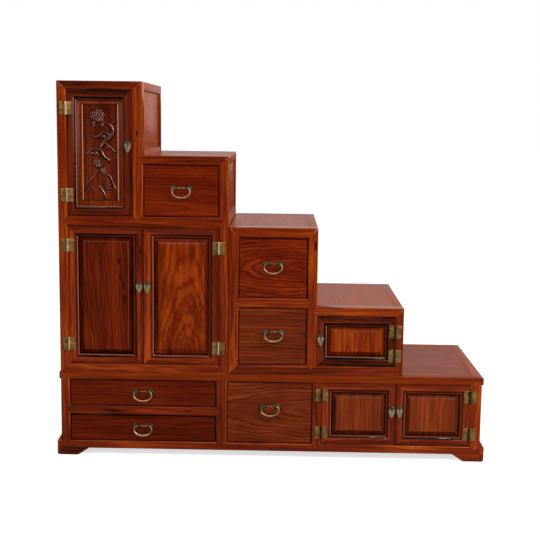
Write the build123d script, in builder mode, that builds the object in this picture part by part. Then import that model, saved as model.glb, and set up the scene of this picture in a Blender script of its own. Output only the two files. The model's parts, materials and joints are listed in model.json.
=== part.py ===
# A stepped storage chest in three stacked cases: a long base chest, a tall stepped chest and a low stepped chest.
# +X runs to the right, +Y to the back and +Z up. The origin is on the floor, below the middle of the whole chest.
# All sizes are in millimetres.
from build123d import *

import os
from math import acos, degrees, radians, sin

os.makedirs("parts", exist_ok=True)

# ---------------------------------------------------------------- driving dimensions
top_length = 1500.0  # base top, end to end
depth = 450.0  # front face to back face of every case
foot_height = 26.0  # floor to the underside of the base's bottom rail
base_height = 306.0
step_heights = {"low_door": 552.0, "low_drawers": 830.0, "tall_drawer": 1074.0, "tall_door": 1325.0}

post_depth = 34.0  # posts and rails, front to back
back_depth = 28.0  # posts and rails of the back frames
joint_line = 0.15  # hair line left between pieces that are glued or pegged together
ease = 1.5  # chamfer on the front arrises of posts, rails and drawers
tip = 13.0  # how far a pointed rail or post end runs into the stick it meets

# Base chest: overhang, then posts and openings from left to right
top_overhang = 5.0
base_posts = (31.0, 37.0, 32.0, 40.0)
wide_drawer_w, deep_drawer_w, base_doors_w = 521.0, 304.0, 525.0
base_rail = 28.0
base_top_t = 26.0
wide_drawer_h, wide_rail = 98.0, 30.0

# Tall chest
tall_posts = (32.0, 36.0, 33.0)
carved_door_w, tall_drawer_w = 227.0, 264.0
tall_bottom_rail, tall_doors_h, tall_mid_rail = 29.0, 490.0, 36.0
tall_step_rail, tall_top_rail = 31.0, 30.0

# Low chest
low_gap = 1.0  # between the two upper cases
low_posts = (34.0, 34.0, 29.0)
low_drawer_w, low_door_w = 242.0, 276.0
low_bottom_rail, low_drawer_h, low_mid_rail = 34.0, 207.0, 33.0
low_top_rail, low_door_h = 35.0, 180.0

# Panels and boards
side_panel_t, side_panel_sink, groove = 9.0, 7.0, 6.0
board_t = 12.0
step_upstand = 16.0  # side rail that shows above a step
shelf_z, shelf_setback = 575.0, 60.0
corner_r = 4.0  # outer corners of the cases, seen from the front
top_panel_t, top_tongue_t = 14.0, 6.0
back_board_t = 8.0

# Doors
door_t = 20.0
door_gap_hinge, door_gap_free, door_gap_ends = 1.0, 2.0, 1.5
door_pair_gap = 2.5
stile_flat, moulding_w = 22.0, 12.0
moulding_step, cove_end, panel_level = 1.8, 4.4, 8.0  # depths below the door's front face
bead_w, bead_rise = 3.4, 0.8  # bead along the inner edge of the moulding
panel_tongue_t, bevel_w, bevel_rise, field_rise = 6.0, 18.0, 3.0, 1.6
carved_margin_left, carved_margin_right, carved_margin_foot, carved_margin_top = 20.0, 14.0, 20.0, 14.0
carved_margin_rise, carved_sink, carved_back = 1.5, 4.0, 3.0

# Drawers
front_t, front_recess = 20.0, 3.0
drawer_side_t, drawer_bottom_t, drawer_length = 12.0, 6.0, 380.0
drawer_gap = 1.0
slide_gap = 0.3  # under the drawer sides
runner_reach, runner_h, guide_h = 12.0, 16.0, 24.0

# Butterfly hinges
leaf_w, leaf_h, leaf_t, lobe_rise = 22.5, 46.0, 2.0, 2.2
barrel_r, pin_r, pin_clearance = 3.4, 1.5, 0.07
axis_out = 3.6  # hinge axis in front of the wood's face
knuckle_gap = 0.3

# Bail handles
bail_end_x, bail_half, bail_drop, bail_low = 29.3, 31.5, 33.0, 12.0  # ends, widest half, lowest and widest height
bail_r_end, bail_r_mid, bail_pin_r = 2.2, 3.1, 1.8
bail_axis_out = 9.5  # bail axis in front of the drawer face
bail_lengths = 8  # straight lengths that its bow is made of
plate_t = 1.6
plate_wing = [(10, -3.6), (19, -6), (28, -10.5), (37, -6.5), (39.5, 1.5), (33, 8), (27, 10.5), (22, 6), (10, 3.6)]
post_x, post_r = 23.0, 3.6

# Drop pulls
rosette_r, rosette_t, rosette_rise = 10.8, 2.0, 3.5
drop_half, drop_t, drop_length, drop_shoulder = 10.8, 2.4, 29.0, 3.6
drop_axis_out, eye_r, eye_w, drop_bar_r = 7.2, 2.3, 5.0, 1.1
drop_in = 12.5  # pull centre from the door's free edge

# Feet
foot_side_t, foot_shoulder, foot_height_out, foot_length, foot_foot = 15.0, 50.0, 27.0, 97.0, 57.0
foot_board_t = 22.0

# ---------------------------------------------------------------- stations worked out from them
handle_reach = bail_axis_out + bail_r_mid - front_recess  # how far a handle stands in front of the cases
front = -(depth - handle_reach) / 2
back = front + depth

left = -top_length / 2
base_left = left + top_overhang
wide_x0 = base_left + base_posts[0]
wide_x1 = wide_x0 + wide_drawer_w
deep_x0 = wide_x1 + base_posts[1]
deep_x1 = deep_x0 + deep_drawer_w
base_doors_x0 = deep_x1 + base_posts[2]
base_doors_x1 = base_doors_x0 + base_doors_w
base_right = base_doors_x1 + base_posts[3]
base_open_z0 = foot_height + base_rail
base_open_z1 = base_height - base_top_t
wide_rail_z0 = base_open_z0 + wide_drawer_h
wide_rail_z1 = wide_rail_z0 + wide_rail

tall_left = base_left
carved_x0 = tall_left + tall_posts[0]
carved_x1 = carved_x0 + carved_door_w
tower_right = carved_x1 + tall_posts[1]
tall_open_x1 = tower_right + tall_drawer_w
tall_right = tall_open_x1 + tall_posts[2]
tall_doors_z0 = base_height + tall_bottom_rail
tall_doors_z1 = tall_doors_z0 + tall_doors_h
tall_upper_z0 = tall_doors_z1 + tall_mid_rail
tall_step_z = step_heights["tall_drawer"]
tall_top_z = step_heights["tall_door"]

low_left = tall_right + low_gap
low_drawers_x0 = low_left + low_posts[0]
low_drawers_x1 = low_drawers_x0 + low_drawer_w
low_step_x = low_drawers_x1 + low_posts[1]
low_door_x1 = low_step_x + low_door_w
low_right = low_door_x1 + low_posts[2]
low_open_z0 = base_height + low_bottom_rail
low_rail_z0 = low_open_z0 + low_drawer_h
low_rail_z1 = low_rail_z0 + low_mid_rail
low_top_z = step_heights["low_drawers"]
low_step_z = step_heights["low_door"]
low_upper_z1 = low_top_z - low_top_rail
low_door_z1 = low_open_z0 + low_door_h

inner_y0 = front + post_depth + joint_line
inner_y1 = back - back_depth - joint_line
groove_y0 = front + post_depth - groove
groove_y1 = back - back_depth + groove
back_board_y = back - side_panel_sink - back_board_t


# ---------------------------------------------------------------- helpers used by several pieces
def elevation(y):
    # A plane seen from the front: its own x and y are the chest's X and Z, and it faces -Y.
    return Plane(origin=(0, y, 0), x_dir=(1, 0, 0), z_dir=(0, -1, 0))


def across(x):
    # A plane that faces +X: its own x and y are the chest's Y and Z.
    return Plane(origin=(x, 0, 0), x_dir=(0, 1, 0), z_dir=(1, 0, 0))


front_plane, inner_plane, back_plane = elevation(front), elevation(inner_y0), elevation(back)


def slab(x0, x1, z0, z1, mode=Mode.ADD):
    # A rectangle in elevation, given by its edges.
    with Locations(((x0 + x1) / 2, (z0 + z1) / 2)):
        Rectangle(x1 - x0, z1 - z0, mode=mode)


def pointed(x0, x1, z0, z1, left_tip=0.0, right_tip=0.0, top_tip=0.0, foot_tip=0.0):
    # A stick's outline, whose ends may run out to a point.
    corners = [(x0, z0), (x1, z0), (x1, z1), (x0, z1)]
    if foot_tip:
        corners.insert(1, ((x0 + x1) / 2, z0 - foot_tip))
    if right_tip:
        corners.insert(corners.index((x1, z1)), (x1 + right_tip, (z0 + z1) / 2))
    if top_tip:
        corners.insert(corners.index((x0, z1)), ((x0 + x1) / 2, z1 + top_tip))
    if left_tip:
        corners.append((x0 - left_tip, (z0 + z1) / 2))
    return corners


def mitred(x0, x1, z_outer, z_inner, left_post, right_post):
    # A rail's outline whose ends meet their posts in a mitre.
    return [(x0, z_outer), (x1, z_outer), (x1 - right_post, z_inner), (x0 + left_post, z_inner)]


def step_rail(x0, x1, z0, z1, right_post):
    # The rail in front of a step: pointed into the higher post, mitred on the lower one.
    return [(x0, z0), (x1, z0), (x1 + right_post, z1), (x0, z1), (x0 - tip, (z0 + z1) / 2)]


def lay(corners):
    # Adds one stick and cuts the sticks laid before it back to a hair line round it.
    stick = Polygon(*corners, align=None, mode=Mode.PRIVATE)
    offset(stick, joint_line, kind=Kind.INTERSECTION, mode=Mode.SUBTRACT)
    add(stick)


def front_arrises(builder):
    # The long arrises in the front plane that run along X or Z.
    edges = builder.edges().filter_by_position(Axis.Y, front - 0.01, front + 0.01)
    return (edges.filter_by(Axis.X) + edges.filter_by(Axis.Z)).filter_by(lambda edge: edge.length > 4 * ease)


def boards(boxes, grow=0.0, mode=Mode.ADD):
    # Boards given by their faces as x0, x1, y0, y1, z0, z1, each grown all round.
    made = []
    for x0, x1, y0, y1, z0, z1 in boxes:
        with Locations(((x0 + x1) / 2, (y0 + y1) / 2, (z0 + z1) / 2)):
            size = (x1 - x0 + 2 * grow, y1 - y0 + 2 * grow, z1 - z0 + 2 * grow)
            made.append(Box(*size, mode=Mode.PRIVATE))
    add(made, mode=mode)


def hand_over(builder, name):
    builder.part.label = name
    export_step(builder.part, f"parts/{name}.step")


def side_panel(x_outer, inward, z0, z1):
    # A side panel sunk below the posts' outer faces, in grooves all round.
    x_face = x_outer + inward * side_panel_sink
    x_back = x_face + inward * side_panel_t
    return min(x_face, x_back), max(x_face, x_back), groove_y0, groove_y1, z0 - groove, z1 + groove


def back_board(x0, x1, z0, z1):
    return x0 - groove, x1 + groove, back_board_y, back_board_y + back_board_t, z0 - groove, z1 + groove


def deck(x0, x1, z_top):
    # A horizontal board let into the frame round it.
    return x0 - groove, x1 + groove, groove_y0, groove_y1, z_top - board_t, z_top


def top_body(x0, x1, z_top):
    # The upper part of a flush top panel, between the rails.
    y0, y1 = front + post_depth, back - back_depth
    return x0, x1, y0, y1, z_top - top_panel_t, z_top - 0.4


def top_tongue(x0, x1, z_top):
    # Its tongue, in the rails' grooves.
    return x0 - groove, x1 + groove, groove_y0, groove_y1, z_top - top_panel_t, z_top - top_panel_t + top_tongue_t


def guide(x_wall, x_side, z):
    # A strip beside a drawer, between the wall and the line of the opening.
    x0, x1 = min(x_wall, x_side), max(x_wall, x_side)
    return x0 + joint_line, x1 - joint_line, inner_y0, inner_y1, z + joint_line, z + guide_h


def runner(x_wall, x_side, z):
    # A strip under a drawer's side, from the wall to a little inside the opening.
    reach = runner_reach if x_side > x_wall else -runner_reach
    x0, x1 = min(x_wall, x_side + reach), max(x_wall, x_side + reach)
    return x0 + joint_line, x1 - joint_line, inner_y0, inner_y1, z - runner_h, z


# ---------------------------------------------------------------- base chest
base_post_edges = [(base_left, wide_x0), (wide_x1, deep_x0), (deep_x1, base_doors_x0), (base_doors_x1, base_right)]
base_end_posts = [base_post_edges[0], base_post_edges[-1]]
base_side_top = base_open_z1 - base_rail
base_panels = [
    side_panel(base_left, 1, base_open_z0, base_side_top),
    side_panel(base_right, -1, base_open_z0, base_side_top),
]
base_back_z1 = base_open_z1 - groove - joint_line
base_backs = [back_board(wide_x0, base_doors_x1, base_open_z0, base_back_z1)]
base_floors = [deck(wide_x0, base_doors_x1, base_open_z0)]
wide_wall = (wide_x1 + deep_x0 - board_t) / 2
deep_wall = (deep_x1 + base_doors_x0 - board_t) / 2
left_wall = base_left + side_panel_sink + side_panel_t
division_y1 = back_board_y - joint_line
division_z0 = base_open_z0 + joint_line
division_z1 = base_open_z1 - joint_line
base_divisions = [
    (wide_wall, wide_wall + board_t, groove_y0, division_y1, division_z0, division_z1),
    (deep_wall, deep_wall + board_t, groove_y0, division_y1, division_z0, division_z1),
]

end_member = base_posts[0] + top_overhang
base_tongue = top_tongue(left + end_member, -left - end_member, base_height)

# Posts stand in the bottom rail and in the top on pointed ends.
with BuildPart() as base_frame:
    for plane, reach in ((front_plane, -post_depth), (back_plane, back_depth)):
        with BuildSketch(plane):
            slab(base_left, base_right, foot_height, base_open_z0)
            for x0, x1 in base_post_edges if plane is front_plane else base_end_posts:
                lay(pointed(x0, x1, base_open_z0, base_open_z1, top_tip=tip, foot_tip=tip))
            if plane is front_plane:
                lay(pointed(wide_x0, wide_x1, wide_rail_z0, wide_rail_z1, left_tip=tip, right_tip=tip))
        extrude(amount=reach)
    with BuildSketch(inner_plane):
        for x0, x1 in base_end_posts:
            slab(x0, x1, foot_height, base_open_z0)
            slab(x0, x1, base_side_top, base_open_z1 - joint_line)
    extrude(amount=inner_y0 - inner_y1)
    chamfer(front_arrises(base_frame), ease)
    let_in = base_panels + base_backs + base_floors + base_divisions + [base_tongue]
    boards(let_in, grow=joint_line, mode=Mode.SUBTRACT)
hand_over(base_frame, "base_frame")

with BuildPart() as base_side_panels:
    boards(base_panels)
hand_over(base_side_panels, "base_side_panels")

with BuildPart() as base_back_boards:
    boards(base_backs)
hand_over(base_back_boards, "base_back_boards")

with BuildPart() as base_floor:
    boards(base_floors)
    boards(base_divisions, grow=joint_line, mode=Mode.SUBTRACT)
hand_over(base_floor, "base_floor")

with BuildPart() as base_divisions_and_runners:
    boards(base_divisions)
    boards([
        guide(left_wall, wide_x0, base_open_z0),
        guide(wide_wall, wide_x1, base_open_z0),
        guide(left_wall, wide_x0, wide_rail_z1),
        guide(wide_wall, wide_x1, wide_rail_z1),
        runner(left_wall, wide_x0, wide_rail_z1),
        runner(wide_wall, wide_x1, wide_rail_z1),
        guide(wide_wall + board_t, deep_x0, base_open_z0),
        guide(deep_wall, deep_x1, base_open_z0),
    ])
hand_over(base_divisions_and_runners, "base_divisions")

# The top is a mitred frame round a flush panel, and takes the posts' pointed heads.
with BuildPart() as base_top:
    with BuildSketch(Plane.XY.offset(base_open_z1)):
        x0, x1 = left + end_member, -left - end_member
        y0, y1 = front + post_depth, back - back_depth
        Polygon((left, front), (x0, y0), (x0, y1), (left, back), align=None)
        Polygon((-left, front), (-left, back), (x1, y1), (x1, y0), align=None)
        lay([(left, front), (-left, front), (x1, y0), (x0, y0)])
        lay([(left, back), (x0, y1), (x1, y1), (-left, back)])
    extrude(amount=base_top_t)
    outer = base_top.edges().filter_by_position(Axis.Y, front - 0.01, front + 0.01).filter_by(Axis.X)
    outer += base_top.edges().filter_by_position(Axis.X, left - 0.01, left + 0.01).filter_by(Axis.Y)
    outer += base_top.edges().filter_by_position(Axis.X, -left - 0.01, -left + 0.01).filter_by(Axis.Y)
    chamfer(outer, ease)
    boards([base_tongue], grow=joint_line, mode=Mode.SUBTRACT)
    for plane, reach, edges in ((front_plane, -1, base_post_edges), (back_plane, 1, base_end_posts)):
        with BuildSketch(plane):
            for post_x0, post_x1 in edges:
                grow = 2 * joint_line
                head = ((post_x0 + post_x1) / 2, base_open_z1 + tip + grow)
                Polygon((post_x0 - grow, base_open_z1), (post_x1 + grow, base_open_z1), head, align=None)
        extrude(amount=reach * (post_depth + joint_line), mode=Mode.SUBTRACT)
    boards([top_body(x0, x1, base_height)], grow=-joint_line)
    boards([base_tongue])
hand_over(base_top, "base_top")

# A bracket foot is a low board under the rail and a thicker plank that stands outside the post.
with BuildPart() as base_feet:
    for corner_x, outward in ((base_left, -1), (base_right, 1)):
        for corner_y, inward in ((front, 1), (back, -1)):
            with BuildSketch(elevation(corner_y)):
                x_out = corner_x + outward * foot_side_t
                shoulder_z = foot_shoulder + foot_height_out
                plank = Polygon(
                    (corner_x + outward * joint_line, 0),
                    (x_out, 0),
                    (x_out, shoulder_z - 25),
                    (corner_x + outward * joint_line, shoulder_z),
                    align=None,
                )
                fillet(plank.vertices().filter_by_position(Axis.X, x_out - 0.01, x_out + 0.01).sort_by(Axis.Y)[0], 8)
            extrude(amount=-inward * foot_length)
            with BuildSketch(elevation(corner_y)):
                x_in = corner_x - outward * foot_foot
                Polygon(
                    (corner_x, 0),
                    (x_in, 0),
                    (corner_x - outward * foot_length, foot_height - joint_line),
                    (corner_x, foot_height - joint_line),
                    align=None,
                )
            extrude(amount=-inward * foot_board_t)
    for side_x, outward in ((base_left, -1), (base_right, 1)):
        for corner_y, inward in ((front, 1), (back, -1)):
            with BuildSketch(across(side_x)):
                y_long = corner_y + inward * foot_length
                y_short = corner_y + inward * foot_foot
                Polygon((y_long, -1), (y_short, -1), (y_short, 0), (y_long, foot_height), align=None)
            extrude(amount=outward * (foot_side_t + 1), mode=Mode.SUBTRACT)
hand_over(base_feet, "base_feet")

# ---------------------------------------------------------------- tall chest
tall_panels = [
    side_panel(tall_left, 1, tall_doors_z0, tall_doors_z1),
    side_panel(tall_left, 1, tall_upper_z0, tall_top_z - tall_top_rail),
    side_panel(tall_right, -1, tall_doors_z0, tall_doors_z1),
    side_panel(tall_right, -1, tall_upper_z0, tall_step_z - tall_step_rail),
    side_panel(tower_right, -1, tall_step_z + step_upstand, tall_top_z - tall_top_rail),
]
tall_backs = [
    back_board(carved_x0, tall_open_x1, tall_doors_z0, tall_doors_z1),
    back_board(carved_x0, carved_x1, tall_upper_z0, tall_top_z - tall_top_rail),
    back_board(tower_right, tall_open_x1, tall_upper_z0, tall_step_z - tall_step_rail),
]
tall_top_edges = [(carved_x0, carved_x1, tall_top_z), (tower_right, tall_open_x1, tall_step_z)]
tall_decks = [deck(carved_x0, tall_open_x1, tall_doors_z0), deck(carved_x0, tall_open_x1, tall_upper_z0)]
tower_wall = (carved_x1 + tower_right - board_t) / 2
tall_wall_z1 = tall_step_z - tall_step_rail - joint_line
tall_division = (tower_wall, tower_wall + board_t, groove_y0, groove_y1, tall_upper_z0 + joint_line, tall_wall_z1)
tall_left_wall = tall_left + side_panel_sink + side_panel_t
tall_right_wall = tall_right - side_panel_sink - side_panel_t

with BuildSketch() as tall_outline:
    Polygon(
        (tall_left, base_height),
        (tall_right, base_height),
        (tall_right, tall_step_z),
        (tower_right, tall_step_z),
        (tower_right, tall_top_z),
        (tall_left, tall_top_z),
        align=None,
    )
    tops = tall_outline.vertices().filter_by_position(Axis.Y, tall_step_z - 1, tall_top_z + 1)
    fillet(tops.filter_by(lambda v: abs(v.X - tower_right) > 1 or v.Y > tall_step_z + 1), corner_r)

with BuildPart() as tall_frame:
    for plane, reach in ((front_plane, -post_depth), (back_plane, back_depth)):
        with BuildSketch(plane):
            slab(tall_left, carved_x0, base_height, tall_top_z)
            slab(tall_open_x1, tall_right, base_height, tall_step_z)
            lay(mitred(tall_left, tall_right, base_height, tall_doors_z0, tall_posts[0], tall_posts[2]))
            lay(pointed(carved_x0, tall_open_x1, tall_doors_z1, tall_upper_z0, left_tip=tip, right_tip=tip))
            lay(pointed(carved_x1, tower_right, tall_upper_z0, tall_top_z, foot_tip=tip))
            lay(mitred(tall_left, tower_right, tall_top_z, tall_top_z - tall_top_rail, tall_posts[0], tall_posts[1]))
            lay(step_rail(tower_right, tall_open_x1, tall_step_z - tall_step_rail, tall_step_z, tall_posts[2]))
            add(tall_outline.sketch, mode=Mode.INTERSECT)
        extrude(amount=reach)
    with BuildSketch(inner_plane):
        for x0, x1 in ((tall_left, carved_x0), (tall_open_x1, tall_right)):
            slab(x0, x1, base_height, tall_doors_z0)
            slab(x0, x1, tall_doors_z1, tall_upper_z0)
        slab(tall_left, carved_x0, tall_top_z - tall_top_rail, tall_top_z)
        slab(carved_x1, tower_right, tall_top_z - tall_top_rail, tall_top_z)
        slab(carved_x1, tower_right, tall_step_z - tall_step_rail, tall_step_z + step_upstand)
        slab(tall_open_x1, tall_right, tall_step_z - tall_step_rail, tall_step_z)
        add(tall_outline.sketch, mode=Mode.INTERSECT)
    extrude(amount=inner_y0 - inner_y1)
    chamfer(front_arrises(tall_frame), ease)
    tall_tongues = [top_tongue(*edges) for edges in tall_top_edges]
    let_in = tall_panels + tall_backs + tall_decks + tall_tongues + [tall_division]
    boards(let_in, grow=joint_line, mode=Mode.SUBTRACT)
hand_over(tall_frame, "tall_frame")

with BuildPart() as tall_side_panels:
    boards(tall_panels)
hand_over(tall_side_panels, "tall_side_panels")

with BuildPart() as tall_back_boards:
    boards(tall_backs)
hand_over(tall_back_boards, "tall_back_boards")

with BuildPart() as tall_tops:
    boards([top_body(*edges) for edges in tall_top_edges], grow=-joint_line)
    boards(tall_tongues)
hand_over(tall_tops, "tall_tops")

with BuildPart() as tall_boards:
    boards(tall_decks)
    boards([tall_division])
    shelf_edges = (tall_left_wall + joint_line, tall_right_wall - joint_line)
    boards([(*shelf_edges, front + shelf_setback, inner_y1, shelf_z + joint_line, shelf_z + board_t)])
    boards([
        (tall_left_wall + joint_line, tall_left_wall + 20, front + shelf_setback, inner_y1, shelf_z - 20, shelf_z),
        (tall_right_wall - 20, tall_right_wall - joint_line, front + shelf_setback, inner_y1, shelf_z - 20, shelf_z),
        guide(tower_wall + board_t, tower_right, tall_upper_z0),
        guide(tall_right_wall, tall_open_x1, tall_upper_z0),
    ])
hand_over(tall_boards, "tall_boards")

# ---------------------------------------------------------------- low chest
low_panels = [
    side_panel(low_left, 1, low_open_z0, low_upper_z1),
    side_panel(low_right, -1, low_open_z0, low_door_z1),
    side_panel(low_step_x, -1, low_step_z + step_upstand, low_upper_z1),
]
low_backs = [
    back_board(low_drawers_x0, low_drawers_x1, low_open_z0, low_rail_z0),
    back_board(low_drawers_x0, low_drawers_x1, low_rail_z1, low_upper_z1),
    back_board(low_step_x, low_door_x1, low_open_z0, low_door_z1),
]
low_top_edges = [(low_drawers_x0, low_drawers_x1, low_top_z), (low_step_x, low_door_x1, low_step_z)]
low_decks = [deck(low_drawers_x0, low_door_x1, low_open_z0), deck(low_drawers_x0, low_drawers_x1, low_rail_z1)]
low_wall = (low_drawers_x1 + low_step_x - board_t) / 2
low_division = (low_wall, low_wall + board_t, groove_y0, groove_y1, low_open_z0 + joint_line, low_door_z1 - joint_line)
low_left_wall = low_left + side_panel_sink + side_panel_t
low_upper_wall = low_step_x - side_panel_sink - side_panel_t

with BuildSketch() as low_outline:
    Polygon(
        (low_left, base_height),
        (low_right, base_height),
        (low_right, low_step_z),
        (low_step_x, low_step_z),
        (low_step_x, low_top_z),
        (low_left, low_top_z),
        align=None,
    )
    tops = low_outline.vertices().filter_by_position(Axis.Y, low_step_z - 1, low_top_z + 1)
    fillet(tops.filter_by(lambda v: abs(v.X - low_step_x) > 1 or v.Y > low_step_z + 1), corner_r)

with BuildPart() as low_frame:
    for plane, reach in ((front_plane, -post_depth), (back_plane, back_depth)):
        with BuildSketch(plane):
            slab(low_left, low_drawers_x0, base_height, low_top_z)
            slab(low_door_x1, low_right, base_height, low_step_z)
            lay(mitred(low_left, low_right, base_height, low_open_z0, low_posts[0], low_posts[2]))
            lay(pointed(low_drawers_x1, low_step_x, low_open_z0, low_top_z, foot_tip=tip))
            lay(mitred(low_left, low_step_x, low_top_z, low_upper_z1, low_posts[0], low_posts[1]))
            lay(pointed(low_drawers_x0, low_drawers_x1, low_rail_z0, low_rail_z1, left_tip=tip, right_tip=tip))
            lay(step_rail(low_step_x, low_door_x1, low_door_z1, low_step_z, low_posts[2]))
            add(low_outline.sketch, mode=Mode.INTERSECT)
        extrude(amount=reach)
    with BuildSketch(inner_plane):
        slab(low_left, low_drawers_x0, base_height, low_open_z0)
        slab(low_door_x1, low_right, base_height, low_open_z0)
        slab(low_left, low_drawers_x0, low_upper_z1, low_top_z)
        slab(low_drawers_x1, low_step_x, low_upper_z1, low_top_z)
        slab(low_drawers_x1, low_step_x, low_door_z1, low_step_z + step_upstand)
        slab(low_door_x1, low_right, low_door_z1, low_step_z)
        add(low_outline.sketch, mode=Mode.INTERSECT)
    extrude(amount=inner_y0 - inner_y1)
    chamfer(front_arrises(low_frame), ease)
    low_tongues = [top_tongue(*edges) for edges in low_top_edges]
    let_in = low_panels + low_backs + low_decks + low_tongues + [low_division]
    boards(let_in, grow=joint_line, mode=Mode.SUBTRACT)
hand_over(low_frame, "low_frame")

with BuildPart() as low_side_panels:
    boards(low_panels)
hand_over(low_side_panels, "low_side_panels")

with BuildPart() as low_back_boards:
    boards(low_backs)
hand_over(low_back_boards, "low_back_boards")

with BuildPart() as low_tops:
    boards([top_body(*edges) for edges in low_top_edges], grow=-joint_line)
    boards(low_tongues)
hand_over(low_tops, "low_tops")

with BuildPart() as low_boards:
    boards(low_decks)
    boards([low_division])
    boards([
        guide(low_left_wall, low_drawers_x0, low_open_z0),
        guide(low_wall, low_drawers_x1, low_open_z0),
        guide(low_left_wall, low_drawers_x0, low_rail_z1),
        guide(low_upper_wall, low_drawers_x1, low_rail_z1),
    ])
hand_over(low_boards, "low_boards")

# ---------------------------------------------------------------- doors
# Each door: its opening's left and right edges, bottom and top; the side its hinges are on (-1 left, 1 right);
# how far in from its top and bottom the hinges sit; the height its pull turns at.
tall_seam = (carved_x0 + tall_open_x1) / 2 - 0.5
base_seam = (base_doors_x0 + base_doors_x1) / 2
base_door_z = (base_open_z0, base_open_z1)
tall_door_z = (tall_doors_z0, tall_doors_z1)
doors = {
    "carved_door": (carved_x0, carved_x1, tall_upper_z0, tall_top_z - tall_top_rail, -1, 63.0, 73.0, 1110.5),
    "tall_left_door": (carved_x0, tall_seam, *tall_door_z, -1, 66.0, 73.0, 621.5),
    "tall_right_door": (tall_seam, tall_open_x1, *tall_door_z, 1, 71.0, 64.0, 621.5),
    "low_door": (low_step_x, low_door_x1, low_open_z0, low_door_z1, 1, 52.0, 41.0, 444.0),
    "base_left_door": (base_doors_x0, base_seam, *base_door_z, -1, 45.0, 44.0, 187.5),
    "base_right_door": (base_seam, base_doors_x1, *base_door_z, 1, 43.0, 46.0, 187.5),
}
pairs = ("tall_left_door", "tall_right_door", "base_left_door", "base_right_door")
sight = stile_flat + moulding_w
knuckle_h = leaf_h / 3
cleft_half = eye_w / 2 + 0.5
cleft_foot = -eye_r - 0.8
case_side_hinges = []  # axis x, middle height and the side of the axis that the case is on


def leaf_outline(axis_x, height, side):
    # A butterfly leaf: straight beside the knuckles, with three shallow lobes along its far edge.
    near, far = axis_x + side * (barrel_r + 0.4), axis_x + side * (leaf_w - lobe_rise)
    foot, head = height - leaf_h / 2, height + leaf_h / 2
    lobes = []
    for number in range(3):
        for up, out in ((0, 0), (0.25, 0.8), (0.75, 0.8)):
            lobes.append((far + side * out * lobe_rise, foot + (number + up) * knuckle_h))
    return [(near, head), (near, foot), *lobes, (far, head)]


def knuckles(axis_x, heights, side, steps, bored):
    # Barrel pieces of one leaf, each joined to the leaf's plate by a short web.
    for height in heights:
        for step in steps:
            foot = height + (step - 0.5) * knuckle_h + knuckle_gap / 2
            with BuildSketch(Plane.XY.offset(foot)) as section:
                with Locations((axis_x, front - axis_out)):
                    RegularPolygon(barrel_r, 8)
                with Locations((axis_x + side * (barrel_r + 2) / 2, front - leaf_t / 2 - 0.1)):
                    Rectangle(barrel_r + 0.6, leaf_t - 0.2)
                if bored:
                    with Locations((axis_x, front - axis_out)):
                        RegularPolygon(pin_r + pin_clearance, 8, major_radius=False, mode=Mode.SUBTRACT)
            extrude(section.sketch, amount=knuckle_h - knuckle_gap)


def drop_outline(x, z):
    # A drop's outline: a leaf with its point down and a cleft at its head.
    right = [
        (0, -drop_length),
        (0.45 * drop_half, -0.76 * drop_length),
        (0.84 * drop_half, -0.45 * drop_length),
        (drop_half, -0.16 * drop_length),
        (0.86 * drop_half, 0.3 * drop_shoulder),
        (0.52 * drop_half, drop_shoulder),
        (cleft_half, 0.8 * drop_shoulder),
        (cleft_half, cleft_foot),
    ]
    left = [(-across_x, up) for across_x, up in reversed(right[1:])]
    return [(x + across_x, z + up) for across_x, up in right + left]


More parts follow.
